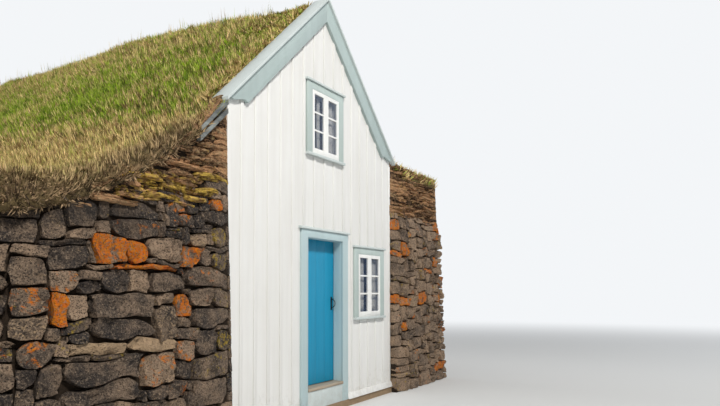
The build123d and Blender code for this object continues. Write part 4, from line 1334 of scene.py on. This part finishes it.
def scatter_tree(name, collection, density, growth, upright, sway, sizes, seed):
    """Geometry nodes that scatter tufts over a vertex group's faces and make them real."""
    tree = bpy.data.node_groups.new(name, "GeometryNodeTree")
    tree.interface.new_socket("Geometry", in_out="INPUT", socket_type="NodeSocketGeometry")
    tree.interface.new_socket("Geometry", in_out="OUTPUT", socket_type="NodeSocketGeometry")
    sheet = Sheet(tree)
    start = sheet.add("NodeGroupInput").outputs[0]
    weights = sheet.add("GeometryNodeInputNamedAttribute", {"Name": growth}, data_type="FLOAT").outputs[0]
    amount = sheet.reckon("MULTIPLY", weights, density)
    points = sheet.add("GeometryNodeDistributePointsOnFaces",
                       {"Mesh": start, "Density": amount, "Seed": seed})
    tufts = sheet.add("GeometryNodeCollectionInfo",
                      {"Collection": collection, "Separate Children": True, "Reset Children": True})
    jitter = sheet.chance("FLOAT_VECTOR", (-sway, -sway, -sway), (sway, sway, sway), seed + 1)
    direction = sheet.vector_sum(sheet.vector_sum(points.outputs["Normal"], upright), jitter)
    aligned = sheet.add("FunctionNodeAlignRotationToVector", {"Vector": direction}, axis="Z")
    spin = sheet.add("ShaderNodeCombineXYZ", {"Z": sheet.chance("FLOAT", 0.0, math.tau, seed + 2)})
    turn = sheet.add("FunctionNodeEulerToRotation", {"Euler": spin.outputs[0]})
    turns = {"Rotation": aligned.outputs[0], "Rotate By": turn.outputs[0]}
    rotation = sheet.add("FunctionNodeRotateRotation", turns, rotation_space="LOCAL")
    instances = sheet.add("GeometryNodeInstanceOnPoints", {
        "Points": points.outputs["Points"], "Instance": tufts.outputs[0], "Pick Instance": True,
        "Rotation": rotation.outputs[0], "Scale": sheet.chance("FLOAT", *sizes, seed + 3)})
    marked = instances.outputs[0]
    for i, label in enumerate(("tone", "shade")):
        values = {"Geometry": marked, "Name": label, "Value": sheet.chance("FLOAT", 0.0, 1.0, seed + 4 + i)}
        marked = sheet.add("GeometryNodeStoreNamedAttribute", values, data_type="FLOAT",
                           domain="INSTANCE").outputs[0]
    real = sheet.add("GeometryNodeRealizeInstances", {"Geometry": marked})
    sheet.feed(sheet.add("NodeGroupOutput").inputs[0], real.outputs[0])
    return tree


def grow(bed, name, tufts, density, grows, seed, upright=(0, 0, 0.9), sway=0.35, sizes=(0.7, 1.25)):
    """Scatters tufts where grows(place, normal) holds on the bed, as one piece of real blades."""
    ground = own_copy(bed, name)
    growth = ground.vertex_groups.new(name="growth")
    growth.add([v.index for v in ground.data.vertices if grows(v.co, v.normal)], 1.0, "REPLACE")
    tree = scatter_tree(name + "_scatter", tufts, density, growth.name, upright, sway, sizes, seed)
    finish_with(ground, "NODES", node_group=tree)
    hand_over(ground, GRASS, "grass_turf")


def outer(normal):
    """Whether a face belongs to the open top or front of the turf and not to its underside."""
    return normal.z > 0.15 or (normal.y < -0.4 and normal.z > -0.2)


def on_crest(place):
    """Whether a point lies on the thin turf at the front end of the ridge."""
    return abs(place.x) < CREST_HALF and place.y < CREST_END_Y


def on_left(place, normal):
    """Whether a point lies on the open left slope."""
    return outer(normal) and place.x < RIDGE_X and place.y < SLOPES_END_Y and not on_crest(place)


def on_right(place, normal):
    """Whether a point lies on the open right slope, the crest included."""
    return outer(normal) and place.x >= RIDGE_X and place.y < SLOPES_END_Y


def on_top(place, normal):
    """Whether a point lies along the top of the ridge, behind its thin front end."""
    return abs(place.x) < STALK_HALF and place.y > STALK_START_Y and normal.z > 0.4


def at_gable(place, normal):
    """Whether a point lies beside the verge caps."""
    return place.y < GABLE_FRINGE_Y and abs(place.x) < HALF_FRONT and normal.z > -0.2


def on_brink(place, normal):
    """Whether a point lies on the ragged lower or front edges of the turf."""
    low = place.z < BRINK_TOP and -0.6 < normal.z < 0.75
    side = place.x < FLANK_X + BRINK_REACH or place.y > REAR_Y - BRINK_REACH
    front = place.y < BRINK_FRONT_Y and normal.y < -0.3 and place.x < BRINK_FRONT_X
    return (low and side) or front


def model_grass(bed):
    """Meadow grass on the slopes, stalks along the ridge and shaggy tufts at the edges."""
    rng = random.Random(41)
    meadow = tuft_set("meadow_tuft", 5, rng, blades=4, length=0.100, width=0.008, spread=0.02, lean_out=0.35)
    shaggy = tuft_set("shaggy_tuft", 4, rng, blades=4, length=0.055, width=0.010, spread=0.02, lean_out=0.9)
    stalks = tuft_set("stalk_tuft", 3, rng, blades=3, length=0.24, width=0.005, spread=0.05, lean_out=0.12)
    coarse = (1.1, 1.8)
    grow(bed, "grass_left_low", meadow, 650, lambda p, n: on_left(p, n) and p.z < SLOPE_SPLIT_Z, seed=51)
    grow(bed, "grass_left_high", meadow, 650, lambda p, n: on_left(p, n) and p.z >= SLOPE_SPLIT_Z, seed=52)
    grow(bed, "grass_right", meadow, 210, on_right, seed=53, sizes=coarse)
    grow(bed, "grass_rear", meadow, 200, lambda p, n: outer(n) and p.y >= SLOPES_END_Y, seed=54, sizes=coarse)
    grow(bed, "crest_stalks", stalks, 26, on_top, seed=57, upright=(0, 0, 2.5), sway=0.25, sizes=(0.6, 1.1))
    grow(bed, "crest_fringe", shaggy, 1600, lambda p, n: outer(n) and on_crest(p), seed=59,
         upright=(0, 0, 0.6), sway=0.7, sizes=(0.6, 1.1))
    grow(bed, "gable_fringe", shaggy, 1500, at_gable, seed=58,
         upright=(0, -0.5, 0.5), sway=0.8, sizes=(0.9, 1.6))
    grow(bed, "edge_straw", shaggy, 1000, on_brink, seed=55, upright=(0, 0, -0.3), sway=1.3)
    for tufts in (meadow, shaggy, stalks):
        put_away(*tufts.objects)


# Timber front
def finished(node, material, slot, bevel=EDGE, body="house"):
    """A frame piece with eased edges and its own material."""
    piece = own_copy(frame["nodes"][node], node + "_finished")
    start_edit(piece)
    bpy.ops.mesh.remove_doubles(threshold=0.00001)
    bpy.ops.mesh.dissolve_limited(angle_limit=math.radians(2))
    end_edit()
    if bevel:
        ease_edges(piece, bevel)
    smooth(piece)
    return hand_over(piece, material, slot, node, body=body)


TIMBER = [
    ("bargeboard_left", BARGE_PAINT, "trim_paint"),
    ("bargeboard_right", BARGE_PAINT, "trim_paint"),
    ("verge_cap_left", CAP_PAINT, "trim_paint"),
    ("verge_cap_right", CAP_PAINT, "trim_paint"),
    ("base_boards", WHITE_PAINT, "trim_paint"),
    ("door_frame", FRAME_PAINT, "trim_paint"),
    ("door_casing", DOORWAY_PAINT, "trim_paint"),
    ("door_cornice", CAP_PAINT, "trim_paint"),
    ("door_riser", CAP_PAINT, "trim_paint"),
    ("door_threshold", WORN_WOOD, "worn_wood"),
    ("window_casings", TRIM_PAINT, "trim_paint"),
    ("window_caps", CAP_PAINT, "trim_paint"),
    ("window_sills", CAP_PAINT, "trim_paint"),
    ("window_sashes", SASH_PAINT, "white_boards"),
]


def clear_spans(x, low, high, gaps):
    """Upright stretches at x between low and high that miss the gaps (x from, x to, z from, z to)."""
    spans = [(low, high)]
    for left, right, bottom, top in gaps:
        if x + BATTEN_WIDTH / 2 <= left or x - BATTEN_WIDTH / 2 >= right:
            continue
        cut = []
        for a, b in spans:
            if bottom > a:
                cut.append((a, min(b, bottom)))
            if top < b:
                cut.append((max(a, top), b))
        spans = [(a, b) for a, b in cut if b - a > BATTEN_WIDTH]
    return spans


def node_gap(node, number, count):
    """Front-view box of one of a node's like pieces, counted from the lowest."""
    low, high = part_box(node)
    middle = (low.z + high.z) / 2
    points = [v.co for v in frame["nodes"][node].data.vertices]
    if count > 1:
        points = [p for p in points if (p.z > middle) == bool(number)]
    return (min(p.x for p in points), max(p.x for p in points),
            min(p.z for p in points), max(p.z for p in points))


def window_gap(number):
    """Front-view box of a window with its casing, cap and sill."""
    boxes = [node_gap(node, number, 2) for node in ("window_casings", "window_caps", "window_sills")]
    return (boxes[0][0], boxes[0][1], min(b[2] for b in boxes), max(b[3] for b in boxes))


def model_battens():
    """Upright battens over the joints of the front's boards."""
    base_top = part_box("base_boards")[1].z
    door = node_gap("door_casing", 0, 1)
    cornice_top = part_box("door_cornice")[1].z
    gaps = [(door[0], door[1], 0.0, cornice_top), window_gap(0), window_gap(1)]
    count = int(HALF_FRONT / BATTEN_PITCH)
    battens = []
    for i in range(-count, count + 1):
        x = max(min(i * BATTEN_PITCH, HALF_FRONT - BATTEN_WIDTH / 2), BATTEN_WIDTH / 2 - HALF_FRONT)
        for low, high in clear_spans(x, base_top, roof_line(x) - BATTEN_END, gaps):
            battens.append(add_block("batten", (x - BATTEN_WIDTH / 2, -BATTEN_PROUD, low),
                                     (x + BATTEN_WIDTH / 2, 0.0, high)))
    piece = join(battens, "front_battens")
    ease_edges(piece, SLAT_EDGE)
    smooth(piece)
    hand_over(piece, WHITE_PAINT, "white_boards")


def glass_lights():
    """Front-view boxes of the four lights of the two windows."""
    boxes = []
    for number in (0, 1):
        left, right, bottom, top = node_gap("window_glass", number, 2)
        middle = (left + right) / 2
        points = [v.co for v in frame["nodes"]["window_glass"].data.vertices]
        inner = min(abs(p.x - middle) for p in points if bottom - 0.01 < p.z < top + 0.01)
        boxes.append((left, middle - inner, bottom, top))
        boxes.append((middle + inner, right, bottom, top))
    return boxes


def model_glazing_bars():
    """Two thin level bars in each light, which make three panes."""
    front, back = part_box("window_sashes")[0].y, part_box("window_glass")[0].y
    bars = []
    for left, right, bottom, top in glass_lights():
        for share in (1 / 3, 2 / 3):
            z = bottom + (top - bottom) * share
            bars.append(add_block("bar", (left, front + BAR_BACK, z - BAR_WIDTH / 2),
                                  (right, back, z + BAR_WIDTH / 2)))
    piece = join(bars, "glazing_bars")
    ease_edges(piece, SLAT_EDGE)
    smooth(piece)
    hand_over(piece, SASH_PAINT, "white_boards")


def model_door():
    """The leaf's upright boards, with eased edges at their joints."""
    low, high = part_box("door_leaf")
    boards = []
    width = (high.x - low.x) / DOOR_BOARDS
    for i in range(DOOR_BOARDS):
        boards.append(add_block("board", (low.x + i * width, low.y, low.z),
                                (low.x + (i + 1) * width, high.y, high.z)))
    piece = join(boards, "door_boards")
    ease_edges(piece, BOARD_EDGE)
    smooth(piece)
    hand_over(piece, DOOR_PAINT, "door_paint", "door_leaf", body="door")


def trim_planks(planks):
    """Saws off the planks' upper ends where the cap's end covers them."""
    start_edit(planks)
    bpy.ops.mesh.bisect(plane_co=(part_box("verge_cap_left")[0].x, 0, 0), plane_no=(1, 0, 0),
                        clear_outer=True, use_fill=True)
    end_edit()


def model_timber():
    for node in ("front_wall_left", "front_wall_right", "front_wall_gable"):
        finished(node, WHITE_PAINT, "white_boards", bevel=0)
    for node, material, slot in TIMBER:
        finished(node, material, slot)
    trim_planks(finished("wall_flashing", GREY_WOOD, "bare_wood"))
    for node in ("door_handle", "hinge_straps"):
        finished(node, IRON, "iron", bevel=IRON_EDGE, body="door")
    finished("hinge_pintles", IRON, "iron", bevel=IRON_EDGE)
    model_battens()
    model_glazing_bars()
    model_door()


# Curtains
def model_curtain(name, left, right, bottom, top, depth, folds, drawn, rng):
    """A cloth gathered in upright folds behind a window's glass, drawn aside at half its height."""
    deselect()
    bpy.ops.mesh.primitive_grid_add(x_subdivisions=folds * FOLD_STEPS, y_subdivisions=CURTAIN_ROWS, size=1)
    cloth = bpy.context.active_object
    cloth.name = name
    phase = rng.uniform(0, math.tau)
    for vertex in cloth.data.vertices:
        across = vertex.co.x + 0.5
        down = vertex.co.y + 0.5
        drift = FOLD_DRIFT * math.sin(down * DRIFT_RATE)
        wave = math.sin(across * folds * math.tau + phase + drift)
        start = left + (right - left) * drawn * math.sin(math.pi * min(1.0, DRAW_RATE * (1.0 - down)))
        vertex.co = (start + (right - start) * across, depth + wave * FOLD_DEPTH,
                     bottom + (top - bottom) * down)
    finish_with(cloth, "SOLIDIFY", thickness=CLOTH_THICKNESS, offset=0.0)
    pick(cloth)
    bpy.ops.object.shade_smooth()
    hand_over(cloth, CLOTH, "white_boards")


def model_curtains():
    """One curtain to a light: the share of the light left open, the folds, and how far it is drawn."""
    rng = random.Random(61)
    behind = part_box("window_sashes")[1].y + CURTAIN_GAP
    hangings = [(0.45, 3, 0.0), (0.40, 3, 0.0), (0.70, 2, 0.0), (0.0, 4, 0.45)]
    for i, (light, (start, folds, drawn)) in enumerate(zip(glass_lights(), hangings)):
        left, right, bottom, top = light
        model_curtain(f"curtain_{i}", left + (right - left) * start, right, bottom, top, behind, folds,
                      drawn, rng)


# Nodes that show as they are
PLAIN_NODES = [
    (EARTH, ("left_wall_stone", "right_wall_stone", "rear_wall_stone",
             "left_wall_turf", "right_wall_turf", "rear_wall_turf")),
    (BASALT, ("front_footing",)),
    (BARE_WOOD, ("roof_boards_left", "roof_boards_right", "rafters_left", "rafters_right", "collar_ties",
                 "wall_plates", "side_posts", "loft_joists", "loft_floor", "floor_bearers",
                 "floor_joists", "ground_floor")),
    (GLASS, ("window_glass",)),
]


def dress_plain_nodes():
    for material, nodes in PLAIN_NODES:
        for node in nodes:
            for slot in frame["nodes"][node].material_slots:
                slot.material = material


# Stage, light and camera
def seen_directly(sheet):
    """One for what the camera sees directly, in a mirror or through glass."""
    path = sheet.add("ShaderNodeLightPath").outputs
    seen = sheet.reckon("MAXIMUM", path["Is Camera Ray"], path["Is Glossy Ray"])
    return sheet.reckon("MAXIMUM", seen, path["Is Transmission Ray"])


def model_floor():
    """A pale disc that fades into the backdrop far from the house."""
    deselect()
    bpy.ops.mesh.primitive_circle_add(vertices=96, radius=70, fill_type="NGON", location=(0, 4, 0))
    floor = bpy.context.active_object
    floor.name = "floor"
    settle(floor)
    material, sheet, shader = new_material("pale_floor")
    sheet.fill(shader, {"Base Color": FLOOR_PALE, "Roughness": 0.9})
    far = sheet.add("ShaderNodeVectorMath", operation="LENGTH")
    sheet.feed(far.inputs[0], sheet.here())
    fade = sheet.step(far.outputs["Value"], *FLOOR_FADE)
    glow = sheet.add("ShaderNodeEmission", {"Color": BACKDROP, "Strength": 1.0}).outputs[0]
    plain = sheet.tree.nodes["Principled BSDF"].outputs[0]
    sheet.mix_shaders(sheet.reckon("MULTIPLY", fade, seen_directly(sheet)), plain, glow, "Material Output")
    dress(floor, material)


def light_world():
    world = bpy.data.worlds.new("studio")
    bpy.context.scene.world = world
    world.use_nodes = True
    sheet = Sheet(world.node_tree)
    ambient = world.node_tree.nodes["Background"]
    sheet.fill(ambient.inputs, {"Color": SKY_FILL, "Strength": SKY_STRENGTH})
    backdrop = sheet.add("ShaderNodeBackground", {"Color": BACKDROP, "Strength": 1.0}).outputs[0]
    sheet.mix_shaders(seen_directly(sheet), ambient.outputs[0], backdrop, "World Output")


def add_lamp(name, place, target, size, power, colour=(1, 1, 1)):
    lamp = bpy.data.lights.new(name, "AREA")
    lamp.shape = "DISK"
    lamp.size = size
    lamp.energy = power
    lamp.color = colour
    holder = bpy.data.objects.new(name, lamp)
    holder.location = place
    holder.rotation_euler = (Vector(target) - Vector(place)).to_track_quat("-Z", "Y").to_euler()
    bpy.context.scene.collection.objects.link(holder)


def set_camera():
    """The camera at the photograph's place and angle."""
    heading = math.radians(CAMERA_HEADING)
    pitch = math.radians(CAMERA_PITCH)
    roll = math.radians(CAMERA_ROLL)
    ahead = Vector((math.cos(heading), math.sin(heading), 0))
    right = Vector((math.sin(heading), -math.cos(heading), 0))
    up = Vector((0, 0, 1))
    forward = ahead * math.cos(pitch) + up * math.sin(pitch)
    top = up * math.cos(pitch) - ahead * math.sin(pitch)
    side = right * math.cos(roll) + top * math.sin(roll)
    top = top * math.cos(roll) - right * math.sin(roll)
    camera = bpy.data.cameras.new("camera")
    camera.lens = CAMERA_LENS
    camera.shift_y = CAMERA_SHIFT
    holder = bpy.data.objects.new("camera", camera)
    turn = Matrix((side, top, -forward)).transposed()
    holder.matrix_world = Matrix.Translation(CAMERA_PLACE) @ turn.to_4x4()
    bpy.context.scene.collection.objects.link(holder)
    bpy.context.scene.camera = holder


model_timber()
model_curtains()
model_stonework()
model_sods()
model_grass(model_turf_bed())
dress_plain_nodes()
model_floor()
light_world()
add_lamp("key_light", (-10, -13.5, 16.5), (0, 2, 2), size=2.4, power=4200, colour=(1.0, 0.975, 0.93))
add_lamp("fill_light", (12, -9, 8), (0, 2, 2), size=9.0, power=320, colour=(0.90, 0.95, 1.0))
add_lamp("rear_light", (2, 20, 12), (0, 5, 2), size=9.0, power=1500)
set_camera()
bpy.context.scene.view_settings.view_transform = "Standard"
